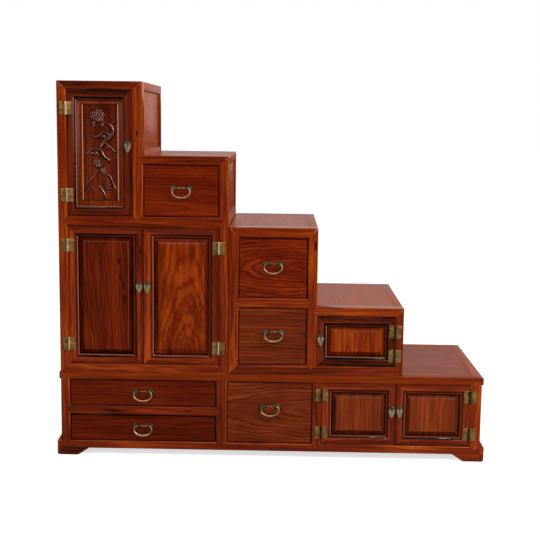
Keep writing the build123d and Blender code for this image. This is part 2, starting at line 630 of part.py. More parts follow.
for name, (open_x0, open_x1, open_z0, open_z1, side, from_top, from_foot, pull_z) in doors.items():
    free_gap = door_pair_gap / 2 if name in pairs else door_gap_free
    x0 = open_x0 + (door_gap_hinge if side < 0 else free_gap)
    x1 = open_x1 - (free_gap if side < 0 else door_gap_hinge)
    z0 = open_z0 + door_gap_ends
    z1 = open_z1 - door_gap_ends
    middle_x = (x0 + x1) / 2
    hinge_edge = open_x0 if side < 0 else open_x1
    axis_x = hinge_edge - side * door_gap_hinge / 2
    hinge_heights = (open_z1 - from_top, open_z0 + from_foot)
    case_side_hinges.append((axis_x, hinge_heights, side))

    # Two stiles and two rails with one moulding, mitred at the corners.
    with BuildPart() as door_frame:
        with BuildLine(elevation(front)):
            Polyline((middle_x, z0), (x1, z0), (x1, z1), (x0, z1), (x0, z0), close=True)
        with BuildSketch(Plane(origin=(middle_x, front, z0), x_dir=(0, 0, 1), z_dir=(1, 0, 0))):
            with BuildLine():
                Polyline(
                    (stile_flat + 1.4, -moulding_step),
                    (stile_flat, 0),
                    (0, 0),
                    (0, -door_t),
                    (sight, -door_t),
                    (sight, -panel_level - panel_tongue_t),
                    (sight - groove, -panel_level - panel_tongue_t),
                    (sight - groove, -panel_level),
                    (sight, -panel_level),
                    (sight, -cove_end - 0.8),
                    (sight - 0.25 * bead_w, -cove_end + bead_rise),
                    (sight - 0.7 * bead_w, -cove_end + bead_rise),
                    (sight - bead_w, -cove_end),
                )
                cove_middle = ((stile_flat + sight - bead_w) / 2, -cove_end + 0.5)
                ThreePointArc((sight - bead_w, -cove_end), cove_middle, (stile_flat + 1.4, -moulding_step))
            make_face()
        sweep(transition=Transition.RIGHT)
        with BuildSketch(elevation(front)):
            with Locations((x0, z0), (x1, z1)):
                Rectangle(3 * sight, joint_line, rotation=45)
            with Locations((x0, z1), (x1, z0)):
                Rectangle(3 * sight, joint_line, rotation=-45)
        extrude(amount=-door_t, mode=Mode.SUBTRACT)
    hand_over(door_frame, f"{name}_frame")

    inner_x0, inner_x1 = x0 + sight, x1 - sight
    inner_z0, inner_z1 = z0 + sight, z1 - sight
    tongue_reach = groove - 2 * joint_line
    with BuildPart() as door_panel:
        with BuildSketch(elevation(front + panel_level + joint_line)):
            slab(inner_x0 - tongue_reach, inner_x1 + tongue_reach, inner_z0 - tongue_reach, inner_z1 + tongue_reach)
        extrude(amount=2 * joint_line - panel_tongue_t)
        if name == "carved_door":
            # A flat margin round a sunken field.
            with BuildSketch(elevation(front + panel_level - carved_margin_rise)):
                slab(inner_x0 + 0.3, inner_x1 - 0.3, inner_z0 + 0.3, inner_z1 - 0.3)
            extrude(amount=-carved_margin_rise - panel_tongue_t - carved_back)
            with BuildSketch(elevation(front + panel_level - carved_margin_rise)):
                slab(
                    inner_x0 + carved_margin_left,
                    inner_x1 - carved_margin_right,
                    inner_z0 + carved_margin_foot,
                    inner_z1 - carved_margin_top,
                )
            extrude(amount=-carved_sink, mode=Mode.SUBTRACT)
        else:
            # A raised field with a bevel all round.
            with BuildSketch(elevation(front + panel_level + joint_line)):
                slab(inner_x0 + 0.3, inner_x1 - 0.3, inner_z0 + 0.3, inner_z1 - 0.3)
            extrude(amount=bevel_rise + joint_line)
            face = door_panel.faces().sort_by(Axis.Y)[0]
            chamfer(face.edges(), bevel_w - 0.3, bevel_rise, reference=face)
            with BuildSketch(elevation(front + panel_level - bevel_rise)):
                slab(inner_x0 + bevel_w, inner_x1 - bevel_w, inner_z0 + bevel_w, inner_z1 - bevel_w)
            extrude(amount=field_rise)
    hand_over(door_panel, f"{name}_panel")

    # Hinge leaves on the door, and the rosette with the eye that its pull hangs in.
    pull_x = x1 - drop_in if side < 0 else x0 + drop_in
    with BuildPart() as door_brass:
        with BuildSketch(elevation(front)):
            for height in hinge_heights:
                Polygon(*leaf_outline(axis_x, height, -side), align=None)
            with Locations((pull_x, pull_z + rosette_rise)):
                RegularPolygon(rosette_r, 12)
        extrude(amount=leaf_t)
        knuckles(axis_x, hinge_heights, -side, (0,), bored=True)
        with BuildSketch(across(pull_x - eye_w / 2)):
            with Locations((front - drop_axis_out, pull_z)):
                RegularPolygon(eye_r, 8)
            with Locations((front - (drop_axis_out + rosette_t) / 2, pull_z)):
                Rectangle(drop_axis_out - rosette_t, 2.4)
            with Locations((front - drop_axis_out, pull_z)):
                RegularPolygon(drop_bar_r + pin_clearance, 8, major_radius=False, mode=Mode.SUBTRACT)
        extrude(amount=eye_w)
    hand_over(door_brass, f"{name}_brass")

    # A leaf-shaped drop with a cleft at its head, bridged by the bar that turns in the eye.
    with BuildPart() as drop_pull:
        with BuildSketch(elevation(front - drop_axis_out + drop_t / 2)):
            Polygon(*drop_outline(pull_x, pull_z), align=None)
        extrude(amount=drop_t)
        with Locations((pull_x, front - drop_axis_out, pull_z)):
            Cylinder(drop_bar_r, 2 * cleft_half + 1, rotation=(0, 90, 0))
    hand_over(drop_pull, f"{name}_drop")

# The case's leaves carry the pins.
with BuildPart() as case_hinges:
    with BuildSketch(elevation(front)):
        for axis_x, hinge_heights, side in case_side_hinges:
            for height in hinge_heights:
                Polygon(*leaf_outline(axis_x, height, side), align=None)
    extrude(amount=leaf_t)
    for axis_x, hinge_heights, side in case_side_hinges:
        knuckles(axis_x, hinge_heights, side, (-1, 1), bored=False)
    pins = [(axis_x, front - axis_out, height) for axis_x, heights, side in case_side_hinges for height in heights]
    with Locations(pins):
        Cylinder(pin_r, knuckle_h + 4)
hand_over(case_hinges, "case_hinges")

# ---------------------------------------------------------------- drawers
# Each drawer: its opening's left and right edges, bottom and top, and how far above its middle the bail turns,
# and how far beside its middle.
drawers = {
    "wide_lower_drawer": (wide_x0, wide_x1, base_open_z0, wide_rail_z0, 7.5, 0.0),
    "wide_upper_drawer": (wide_x0, wide_x1, wide_rail_z1, base_open_z1, 6.0, 0.0),
    "deep_drawer": (deep_x0, deep_x1, base_open_z0, base_open_z1, 23.0, 2.6),
    "tall_drawer": (tower_right, tall_open_x1, tall_upper_z0, tall_step_z - tall_step_rail, 10.0, 0.0),
    "low_lower_drawer": (low_drawers_x0, low_drawers_x1, low_open_z0, low_rail_z0, 17.0, 3.7),
    "low_upper_drawer": (low_drawers_x0, low_drawers_x1, low_rail_z1, low_upper_z1, 15.0, 0.0),
}
face_y = front + front_recess
bail_y = face_y - bail_axis_out
bail_post_length = bail_axis_out + 3.0
drawer_back_y = front + drawer_length

for name, (open_x0, open_x1, open_z0, open_z1, rise, aside) in drawers.items():
    x0, x1 = open_x0 + drawer_gap, open_x1 - drawer_gap
    z0, z1 = open_z0 + 1.0, open_z1 - 1.5
    box_z0, box_z1 = open_z0 + slide_gap, z1 - 6.0
    behind_y = face_y + front_t
    in_x0, in_x1 = x0 + drawer_side_t, x1 - drawer_side_t
    base_z = box_z0 + 8
    bottom_board = (in_x0 - 5, in_x1 + 5, behind_y - 5, drawer_back_y - 1, base_z, base_z + drawer_bottom_t)
    with BuildPart() as drawer:
        boards([(x0, x1, face_y, behind_y, z0, z1)])
        chamfer(drawer.faces().sort_by(Axis.Y)[0].edges(), ease)
        boards([
            (x0, in_x0, behind_y + joint_line, drawer_back_y, box_z0, box_z1),
            (in_x1, x1, behind_y + joint_line, drawer_back_y, box_z0, box_z1),
            (in_x0 + joint_line, in_x1 - joint_line, drawer_back_y - 14, drawer_back_y - 2, base_z + 7, box_z1),
        ])
        boards([bottom_board], grow=joint_line, mode=Mode.SUBTRACT)
        boards([bottom_board])
    hand_over(drawer, name)

    handle_x = (open_x0 + open_x1) / 2 + aside
    handle_z = (open_z0 + open_z1) / 2 + rise
    with BuildPart() as handle_plate:
        with BuildSketch(elevation(face_y)):
            with Locations((handle_x, handle_z)):
                Polygon(*plate_wing, *[(-x, z) for x, z in reversed(plate_wing)], align=None)
            with Locations((handle_x - post_x, handle_z), (handle_x + post_x, handle_z)):
                RegularPolygon(post_r + joint_line, 8, major_radius=False, mode=Mode.SUBTRACT)
        extrude(amount=plate_t)
        with BuildSketch(elevation(face_y)):
            with Locations((handle_x - post_x, handle_z), (handle_x + post_x, handle_z)):
                RegularPolygon(post_r, 8, major_radius=False)
        extrude(amount=bail_post_length)
        with BuildSketch(across(handle_x)):
            with Locations((bail_y, handle_z)):
                RegularPolygon(bail_pin_r + 0.08, 8, major_radius=False)
        extrude(amount=post_x + post_r + 1, both=True, mode=Mode.SUBTRACT)
    hand_over(handle_plate, f"{name}_plate")

    # A bail that thickens towards its middle, eight-sided, with pins turned inwards through the posts.
    with BuildPart() as bail:
        with BuildLine(elevation(bail_y)) as bow:
            turned = degrees(acos(bail_end_x / bail_half))
            centre = (handle_x, handle_z - bail_low)
            sides = (bail_half, bail_drop - bail_low)
            curve = EllipticalCenterArc(centre, *sides, start_angle=180 - turned, arc_size=180 + 2 * turned)
            Line((handle_x - bail_end_x, handle_z), curve @ 0)
            Line(curve @ 1, (handle_x + bail_end_x, handle_z))
        bow_wire = bow.wire()
        for station in range(bail_lengths + 1):
            at = station / bail_lengths
            swell = (bail_r_mid - bail_r_end) * sin(radians(180 * at))
            with BuildSketch(Plane(origin=bow_wire @ at, x_dir=(0, 1, 0), z_dir=bow_wire % at)):
                RegularPolygon(bail_r_end + swell, 8, major_radius=False, rotation=22.5)
        loft(ruled=True)
        for outward in (-1, 1):
            pin_length = bail_end_x - post_x + post_r - 0.6
            with Locations((handle_x + outward * (bail_end_x - pin_length / 2), bail_y, handle_z)):
                Cylinder(bail_pin_r, pin_length, rotation=(0, 90, 0))
    hand_over(bail, f"{name}_bail")
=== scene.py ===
import json
import math
import random

import bmesh
import bpy
from mathutils import Matrix, Vector


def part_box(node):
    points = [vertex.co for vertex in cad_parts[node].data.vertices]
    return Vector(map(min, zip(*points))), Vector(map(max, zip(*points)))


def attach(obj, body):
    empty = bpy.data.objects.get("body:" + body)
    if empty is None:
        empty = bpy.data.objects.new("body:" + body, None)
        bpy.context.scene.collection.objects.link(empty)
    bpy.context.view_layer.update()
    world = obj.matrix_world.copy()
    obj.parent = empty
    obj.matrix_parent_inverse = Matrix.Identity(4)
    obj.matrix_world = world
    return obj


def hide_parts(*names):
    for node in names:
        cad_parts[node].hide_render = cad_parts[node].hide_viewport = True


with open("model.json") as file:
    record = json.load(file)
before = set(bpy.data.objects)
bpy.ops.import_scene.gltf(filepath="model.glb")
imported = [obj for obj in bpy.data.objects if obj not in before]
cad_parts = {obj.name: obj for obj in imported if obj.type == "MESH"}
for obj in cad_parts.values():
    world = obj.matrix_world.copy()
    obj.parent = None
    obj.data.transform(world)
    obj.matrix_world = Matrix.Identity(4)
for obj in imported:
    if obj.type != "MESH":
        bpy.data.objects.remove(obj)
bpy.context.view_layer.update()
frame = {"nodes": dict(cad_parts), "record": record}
mm = 0.001
pivots = {joint["name"]: Vector(joint["pos_m"]) for joint in frame["record"]["behaviour"]["joints"]
          if joint["type"] == "hinge"}


def hexColor(code):
    # "rrggbb" as a linear colour for a socket
    parts = [int(code[i:i + 2], 16) / 255 for i in (0, 2, 4)]
    return [c / 12.92 if c <= 0.04045 else ((c + 0.055) / 1.055) ** 2.4 for c in parts] + [1.0]


def grey(level):
    return (level, level, level, 1.0)


# helpers for materials

def newMaterial(name):
    mat = bpy.data.materials.new(name)
    mat.use_nodes = True
    mat.node_tree.nodes.clear()
    return mat, mat.node_tree


def addNode(tree, kind, inputs=None, **settings):
    made = tree.nodes.new(kind)
    for key, value in settings.items():
        setattr(made, key, value)
    for key, value in (inputs or {}).items():
        if isinstance(value, bpy.types.NodeSocket):
            tree.links.new(value, made.inputs[key])
        else:
            made.inputs[key].default_value = value
    return made


def maths(tree, operation, a, b=0.0, c=0.0, clamp=False):
    inputs = {0: a, 1: b, 2: c}
    return addNode(tree, "ShaderNodeMath", inputs, operation=operation, use_clamp=clamp).outputs[0]


def squareSum(tree, a, b):
    return maths(tree, "ADD", maths(tree, "MULTIPLY", a, a), maths(tree, "MULTIPLY", b, b))


def chanceOf(tree, number):
    # a random value for each whole number, -0.5 to 0.5
    noise = addNode(tree, "ShaderNodeTexWhiteNoise", {"W": maths(tree, "FLOOR", number)},
                    noise_dimensions="1D")
    return maths(tree, "SUBTRACT", noise.outputs["Value"], 0.5)


def readAttribute(tree, name, output):
    return addNode(tree, "ShaderNodeAttribute", attribute_name=name).outputs[output]


def ramp(tree, factor, stops):
    # a stop's colour may be one number, for a grey
    made = addNode(tree, "ShaderNodeValToRGB", {0: factor})
    bar = made.color_ramp.elements
    while len(bar) < len(stops):
        bar.new(0.5)
    for spot, (place, colour) in zip(bar, stops):
        spot.position = place
    for spot, (place, colour) in zip(bar, stops):
        spot.color = grey(colour) if isinstance(colour, float) else colour
    return made.outputs[0]


# wood

# what a wood has where its own entry doesn't say otherwise
usualWood = {
    "ring": 12.0,  # width of a growth ring, in millimetres
    "bend": 0.024, "waver": 0.005,  # how far the rings leave a true circle, in metres
    "ringLevel": 0.85, "ringBands": 1.2, "ringPatches": 1.6,  # how the rings come and go
    # how much each of them shows
    "rings": 0.2, "bands": 0.1, "streaks": 0.4, "patches": 0.7, "fibres": 0.35, "tones": 0.14,
    "relief": 0.12, "fibreRelief": 0.7, "ringRelief": -0.2, "reliefDepth": 0.0005,
    "rough": 0.3, "roughStreaks": 0.2, "coat": 0.35, "coatRough": 0.14,
}
woodLooks = {
    "railWood": {"deep": "3c0d01", "mid": "782302", "light": "ad4b08", "ring": 11.0, "rings": 0.22,
                 "bands": 0.2, "streaks": 0.85, "patches": 1.05, "coat": 0.7},
    "doorWood": {"deep": "300901", "mid": "6c1c02", "light": "a54008", "ring": 11.0, "rings": 0.24,
                 "bands": 0.16, "streaks": 0.8, "patches": 0.9, "coat": 0.9},
    "drawerWood": {"deep": "300802", "mid": "641702", "light": "8c3205", "rings": 0.22, "streaks": 0.45},
    "figuredWood": {"deep": "2a0701", "mid": "681802", "light": "933606", "rings": 0.4, "bands": 0.14,
                    "patches": 0.8},
    "duskFigured": {"deep": "2e0e04", "mid": "6a240a", "light": "904214", "rings": 0.34, "bands": 0.12,
                    "streaks": 0.35},
    "duskWood": {"deep": "441608", "mid": "762c0e", "light": "a04c1c", "ring": 15.0},
    # the carving's light colour is pinkish: a painted highlight for its ridges
    "carvedWood": {"deep": "120201", "mid": "561303", "light": "b07a68", "ring": 13.0, "rings": 0.1,
                   "streaks": 0.3, "patches": 0.3, "coat": 1.0},
    "groundWood": {"deep": "280702", "mid": "561402", "light": "8a3405", "ring": 15.0, "streaks": 0.5,
                   "patches": 1.0, "coat": 0.5},
    # the beads' wood runs to pinkish white: a painted highlight
    "beadHighlightWood": {"deep": "1c0603", "mid": "8c4434", "light": "d2a294", "ring": 13.0, "rings": 0.1,
                 "streaks": 0.5, "patches": 0.5, "coat": 1.0},
    "sideWood": {"deep": "621c06", "mid": "8c370a", "light": "a64812", "ring": 13.0, "rings": 0.18,
                 "bands": 0.14, "patches": 0.5, "coat": 0.0, "relief": 0.04},
    "panelWood": {"deep": "280701", "mid": "551302", "light": "822c04", "ring": 11.0, "rings": 0.36,
                  "streaks": 0.7, "patches": 0.9, "waver": 0.009},
    "paleWood": {"deep": "401002", "mid": "702002", "light": "a44208", "ring": 15.0, "rings": 0.24,
                 "bands": 0.16, "streaks": 0.6, "patches": 1.0},
    "topWood": {"deep": "5c1a06", "mid": "8a340c", "light": "a64812", "rings": 0.16, "bands": 0.14,
                "patches": 0.6, "coat": 0.0, "relief": 0.03},
    "innerWood": {"deep": "7c4c28", "mid": "a06c3c", "light": "b98a54", "bands": 0.15, "streaks": 0.5,
                  "patches": 0.5},
}
darkest = "0c0201"
colourStops = (0.0, 0.07, 0.5, 0.95)  # where the darkest, deep, mid and light colours lie
# how dark a growth ring is from its early wood to its late wood
ringStops = [(0.0, 0.5), (0.1, 0.0), (0.6, 0.06), (0.88, 1.0), (1.0, 0.5)]
# noise drawn out along the grain: how fine it is along and across, its detail and its roughness
grainNoises = {
    "bend": (4.5, 24.0, 2.0, 0.55), "waver": (15.0, 70.0, 2.0, 0.55), "patch": (3.0, 26.0, 2.0, 0.55),
    "streak": (5.5, 120.0, 4.0, 0.6), "fibre": (22.0, 900.0, 3.0, 0.6),
}
# knots differ in place, length and side from one to the next, and their edges are ragged and soft
knotLook = {"moved": 0.5, "short": 3.2, "longer": -1.8, "aside": 1.1, "edge": 1.2, "ragged": 1.6, "soft": 0.9,
            "dark": 0.88}


def grainNoise(tree, grain, kind):
    # about -0.5 to 0.5
    along, across, detail, rough = grainNoises[kind]
    scaled = addNode(tree, "ShaderNodeMapping", {"Vector": grain, "Scale": (along, across, across)})
    inputs = {"Vector": scaled.outputs[0], "Scale": 1.0, "Detail": detail, "Roughness": rough}
    return maths(tree, "SUBTRACT", addNode(tree, "ShaderNodeTexNoise", inputs).outputs[0], 0.5)


def growthRings(tree, grain, look):
    # rings round the pith line, bent a little: how dark the wood is in its ring, and the ring's own chance
    across, deep = addNode(tree, "ShaderNodeSeparateXYZ", {0: grain}).outputs[1:]
    radius = maths(tree, "SQRT", squareSum(tree, across, deep))
    for kind in ("bend", "waver"):
        radius = maths(tree, "MULTIPLY_ADD", grainNoise(tree, grain, kind), look[kind], radius)
    turns = maths(tree, "DIVIDE", radius, look["ring"] * mm)
    return ramp(tree, maths(tree, "FRACT", turns), ringStops), chanceOf(tree, turns)


def knotRow(tree, streak):
    # a row of lens-shaped knots, counted along the grain: 1 in a knot and 0 beside it
    spot = readAttribute(tree, "knot", "Vector")
    row, off, count = addNode(tree, "ShaderNodeSeparateXYZ", {0: spot}).outputs
    odd = chanceOf(tree, row)
    along = maths(tree, "SUBTRACT", maths(tree, "FRACT", row), 0.5)
    along = maths(tree, "MULTIPLY_ADD", odd, knotLook["moved"], along)
    stretch = maths(tree, "MULTIPLY_ADD", odd, knotLook["longer"], knotLook["short"])
    off = maths(tree, "MULTIPLY_ADD", odd, knotLook["aside"], off)
    reach = squareSum(tree, maths(tree, "MULTIPLY", along, stretch), off)
    edge = maths(tree, "MULTIPLY_ADD", streak, knotLook["ragged"], knotLook["edge"])
    knot = maths(tree, "MULTIPLY", maths(tree, "SUBTRACT", edge, reach), knotLook["soft"], clamp=True)
    started, unfinished = maths(tree, "GREATER_THAN", row, 0.0), maths(tree, "LESS_THAN", row, count)
    return maths(tree, "MULTIPLY", knot, maths(tree, "MULTIPLY", started, unfinished))


def makeWood(name, ownLook):
    look = {**usualWood, **ownLook}
    mat, tree = newMaterial(name)
    grain = readAttribute(tree, "grain", "Vector")
    tone = readAttribute(tree, "tone", "Fac")
    late, band = growthRings(tree, grain, look)
    streak, fibre, patch = [grainNoise(tree, grain, kind) for kind in ("streak", "fibre", "patch")]
    clear = maths(tree, "MULTIPLY_ADD", band, look["ringBands"], look["ringLevel"])
    clear = maths(tree, "MULTIPLY_ADD", patch, look["ringPatches"], clear, clamp=True)
    value = maths(tree, "MULTIPLY", maths(tree, "MULTIPLY", late, clear), -look["rings"])
    shares = ((streak, "streaks"), (fibre, "fibres"), (patch, "patches"), (tone, "tones"), (band, "bands"))
    for part, share in shares:
        value = maths(tree, "MULTIPLY_ADD", part, look[share], value)
    # the middle of the colours, and what the rings take from it
    value = maths(tree, "ADD", value, 0.5 + 0.3 * look["rings"], clamp=True)
    value = maths(tree, "MULTIPLY", value,
                  maths(tree, "MULTIPLY_ADD", knotRow(tree, streak), -knotLook["dark"], 1.0))
    codes = (darkest, look["deep"], look["mid"], look["light"])
    colour = ramp(tree, value, list(zip(colourStops, map(hexColor, codes))))
    height = maths(tree, "MULTIPLY_ADD", fibre, look["fibreRelief"],
                   maths(tree, "MULTIPLY", late, look["ringRelief"]))
    bump = addNode(tree, "ShaderNodeBump", {"Strength": look["relief"], "Distance": look["reliefDepth"],
                                            "Height": height})
    shader = addNode(tree, "ShaderNodeBsdfPrincipled", {
        "Base Color": colour, "Normal": bump.outputs[0],
        "Roughness": maths(tree, "MULTIPLY_ADD", streak, look["roughStreaks"], look["rough"]),
        "IOR": 1.45, "Specular IOR Level": 0.25, "Specular Tint": (0.85, 0.34, 0.14, 1.0),
        "Coat Roughness": look["coatRough"], "Coat Weight": look["coat"],
    })
    addNode(tree, "ShaderNodeOutputMaterial", {"Surface": shader.outputs[0]})
    return mat


woods = {name: makeWood(name, look) for name, look in woodLooks.items()}
print("wood finishes:", len(woods))


# helpers for meshes

mergeWithin = 1e-6  # metres


def looseParts(bm):
    # the separate sticks and boards of a mesh, front ones first
    found, seen = [], set()
    for start in bm.verts:
        if start in seen:
            continue
        part, todo = [], [start]
        seen.add(start)
        while todo:
            vert = todo.pop()
            part.append(vert)
            for edge in vert.link_edges:
                other = edge.other_vert(vert)
                if other not in seen:
                    seen.add(other)
                    todo.append(other)
        found.append(part)
    return sorted(found, key=lambda part: min(vert.co.y for vert in part))


def corners(verts):
    low = Vector([min(v.co[i] for v in verts) for i in range(3)])
    high = Vector([max(v.co[i] for v in verts) for i in range(3)])
    return low, high


def easeEdges(bm, edges, offset):
    bmesh.ops.bevel(bm, geom=edges, offset=offset, offset_type="OFFSET", segments=2, profile=0.5,
                    affect="EDGES", material=-1, clamp_overlap=False)


def addGrainLayers(bm):
    bm.verts.layers.float_vector.new("grain")
    bm.verts.layers.float.new("tone")
    bm.verts.layers.float_vector.new("knot")


def finishMesh(bm, name, materials, smoothAngle=32):
    mesh = bpy.data.meshes.new(name)
    bm.to_mesh(mesh)
    bm.free()
    for material in materials:
        mesh.materials.append(material)
    mesh.shade_smooth()
    mesh.set_sharp_from_angle(angle=math.radians(smoothAngle))
    made = bpy.data.objects.new(name, mesh)
    bpy.context.collection.objects.link(made)
    return made


def declare(piece, body, nodes):
    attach(piece, body)
    if nodes:
        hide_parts(*nodes)
    return piece


# the grain of each stick and board

# dark knots on the front: x and z of the first, length and width of each, how many, and the step to the next
knots = [
    {"at": (-535, 702), "size": (31, 12), "count": 4, "step": (5.5, -46)},
    {"at": (-234, 999), "size": (8, 6), "count": 1, "step": (1, 0)},
    {"at": (-469, 1150), "size": (17, 8), "count": 1, "step": (0, 1)},
    {"at": (-460, 1088), "size": (8, 6), "count": 1, "step": (0, 1)},
    {"at": (-460, 746), "size": (22, 6), "count": 1, "step": (0, 1)},
    {"at": (-457, 532), "size": (10, 5), "count": 1, "step": (0, 1)},
    {"at": (150, 772), "size": (30, 11), "count": 1, "step": (0, 1)},
    {"at": (-289, 169), "size": (34, 8), "count": 1, "step": (1, 0)},
    {"at": (226, 199), "size": (34, 6), "count": 1, "step": (0, -1)},
]
noKnot = (-1.0, 9.0, 0.0)
frontReach = -0.19  # what comes further forward than this, in metres, shows on the front
# posts and rails that are darker or lighter than the rest: x and z of a spot on each, and how much
toned = [((-560, 1308), -1.2), ((-468, 1200), 1.1), ((60, 322), -1.2), ((-330, 890), -0.7),
         ((-130, 816), 1.1), ((-130, 300), -0.9), ((200, 536), 0.8), ((-735, 150), -1.0),
         ((-170, 150), -0.6), ((-140, 500), -1.2)]
# where the pith line may lie if a figure doesn't say: how far aside, in metres or a board's widths, how far
# below the face, and its slope; then its start along the piece, the piece's place in the log, and its tone
pith = {
    "board": {"aside": (-0.25, 0.25), "depth": (0.01, 0.04), "slope": (0.06, 0.16)},
    "stick": {"aside": (0.03, 0.1), "depth": (0.03, 0.1), "slope": (0.005, 0.04)},
    "boardFrom": 60, "start": (-0.3, 0.3), "away": (1.0, 9.0), "tone": (-0.9, 0.9), "railTone": -0.9,
}


def isOnFront(low, high, spot):
    # whether a stick or board with these corners shows at this spot of the front
    return low.y < frontReach and low.x < spot[0] * mm < high.x and low.z < spot[1] * mm < high.z


def knotPlace(co, knot):
    # a vertex's place in a row of knots, its distance beside it in half widths, and the number of knots
    step = Vector(knot["step"]) * mm
    line = step.normalized()
    offset = Vector((co.x, co.z)) - Vector(knot["at"]) * mm
    cell = step.length if knot["count"] > 1 else 2 * knot["size"][0] * mm
    across = offset.dot(Vector((line.y, -line.x))) / (knot["size"][1] / 2 * mm)
    return offset.dot(line) / cell + 0.5, across, knot["count"]


def writeGrain(bm, part, figure, rng, base=0.0):
    # along, across and depth of the grain, measured from a pith line outside or inside the board
    low, high = corners(part)
    size = high - low
    order = sorted(range(3), key=lambda i: -size[i])
    if "along" in figure:
        order.remove(figure["along"])
        order.insert(0, figure["along"])
    u, v, w = order
    middle = (low + high) / 2
    broad = size[v] > pith["boardFrom"] * mm
    usual = pith["board"] if broad else pith["stick"]
    if broad:
        aside = rng.uniform(*usual["aside"]) * size[v]
    else:
        aside = rng.choice((-1, 1)) * rng.uniform(*usual["aside"])
    shift = figure["shift"] * mm if "shift" in figure else aside
    depth = figure["depth"] * mm if "depth" in figure else rng.uniform(*usual["depth"])
    slope = rng.choice((-1, 1)) * rng.uniform(*usual["slope"])
    lean = figure.get("lean", slope)
    swing = figure.get("swing", 0.0)
    start = figure["start"] * mm if "start" in figure else rng.uniform(*pith["start"]) * size[u]
    bow = figure.get("bow", 0.0)
    away = rng.uniform(*pith["away"])
    # rails are a little darker than posts
    ownTone = rng.uniform(*pith["tone"]) + (pith["railTone"] if u == 0 and not broad else 0.0)
    tone = base + figure.get("tone", ownTone)
    tone += sum(change for spot, change in toned if isOnFront(low, high, spot))
    knot = next((knot for knot in knots if isOnFront(low, high, knot["at"])), None)
    grainLayer = bm.verts.layers.float_vector["grain"]
    toneLayer = bm.verts.layers.float["tone"]
    knotLayer = bm.verts.layers.float_vector["knot"]
    for vert in part:
        run = vert.co[u] - middle[u]
        side = vert.co[v] - middle[v] - shift - swing * (run - start)
        down = vert.co[w] - middle[w] + depth + (lean - bow * (run - start)) * (run - start)
        vert[grainLayer] = (run + away, side, down)
        vert[toneLayer] = tone
        vert[knotLayer] = knotPlace(vert.co, knot) if knot else noKnot


# the CAD nodes' own wood

# angles in degrees and lengths in millimetres
dressing = {
    "flat": 0.6,  # faces that turn less than this are one
    "chamfer": (40, 50), "chamferLong": 6, "chamferEase": 0.65,
    "frontDeep": 0.1, "rimFace": 20,  # a face gets a rim if it has this many squares of the rim's width
    "arris": 80, "arrisLong": 12, "arrisOff": 0.02,
    "slices": 24, "litArris": (-0.97, -0.2),
}


def easeChamfers(bm):
    least, most = [math.radians(angle) for angle in dressing["chamfer"]]
    chamfers = [e for e in bm.edges if e.is_manifold and least < e.calc_face_angle(0) < most
                and e.calc_length() > dressing["chamferLong"] * mm]
    if chamfers:
        easeEdges(bm, chamfers, dressing["chamferEase"] * mm)


def rimFronts(bm, rim):
    # front faces get a strip along their edges, so that the painted highlight and shade along them stay
    # narrow
    plane = min(vert.co.y for vert in bm.verts) + dressing["frontDeep"] * mm
    faces = [f for f in bm.faces if f.normal.y < -0.99 and all(v.co.y < plane for v in f.verts)
             and f.calc_area() > dressing["rimFace"] * rim * rim * mm * mm]
    bmesh.ops.inset_individual(bm, faces=faces, thickness=rim * mm, depth=0.0, use_even_offset=True)


def isStickArris(edge, low, high):
    # a square edge that lies on two sides of its stick's box
    sides = 0
    for i in range(3):
        for plane in (low[i], high[i]):
            if all(abs(v.co[i] - plane) < dressing["arrisOff"] * mm for v in edge.verts):
                sides += 1
    square = edge.is_manifold and edge.calc_face_angle(0) > math.radians(dressing["arris"])
    return square and sides >= 2 and edge.calc_length() > dressing["arrisLong"] * mm


def easeArrises(bm, arris):
    arrises = []
    for part in looseParts(bm):
        low, high = corners(part)
        arrises += [e for e in {e for v in part for e in v.link_edges} if isStickArris(e, low, high)]
    if arrises:
        easeEdges(bm, arrises, arris * mm)


def sliceLevel(bm, slices):
    # level cuts, so that the grain can follow a bowed pith line
    low, high = corners(bm.verts)
    for number in range(1, slices):
        level = low.z + (high.z - low.z) * number / slices
        geom = bm.verts[:] + bm.edges[:] + bm.faces[:]
        bmesh.ops.bisect_plane(bm, geom=geom, plane_co=(0.0, 0.0, level), plane_no=(0.0, 0.0, 1.0))


def paintArrisLight(bm, arrisLight):
    # painted light and shade: front arrises are painted light where they face up and right, and dark where
    # they face down and left
    toneLayer = bm.verts.layers.float["tone"]
    least, most = dressing["litArris"]
    bm.normal_update()
    for vert in bm.verts:
        if least < vert.normal.y < most:
            vert[toneLayer] += arrisLight * (vert.normal.x + vert.normal.z)


def addShadeAndPatina(bm, shadeAndPatina):
    # painted light and shade by depth, with dark polish: raised parts are painted light, and hollows painted
    # dark as shade and as polish gathered there; steps of in from the edge, depth, tone
    toneLayer = bm.verts.layers.float["tone"]
    low, high = corners(bm.verts)
    for vert in bm.verts:
        inward = min(vert.co.x - low.x, high.x - vert.co.x, vert.co.z - low.z, high.z - vert.co.z) / mm
        sunk = (vert.co.y - low.y) / mm
        for within, depth, change in shadeAndPatina:
            if inward < within and sunk < depth:
                vert[toneLayer] += change
                break


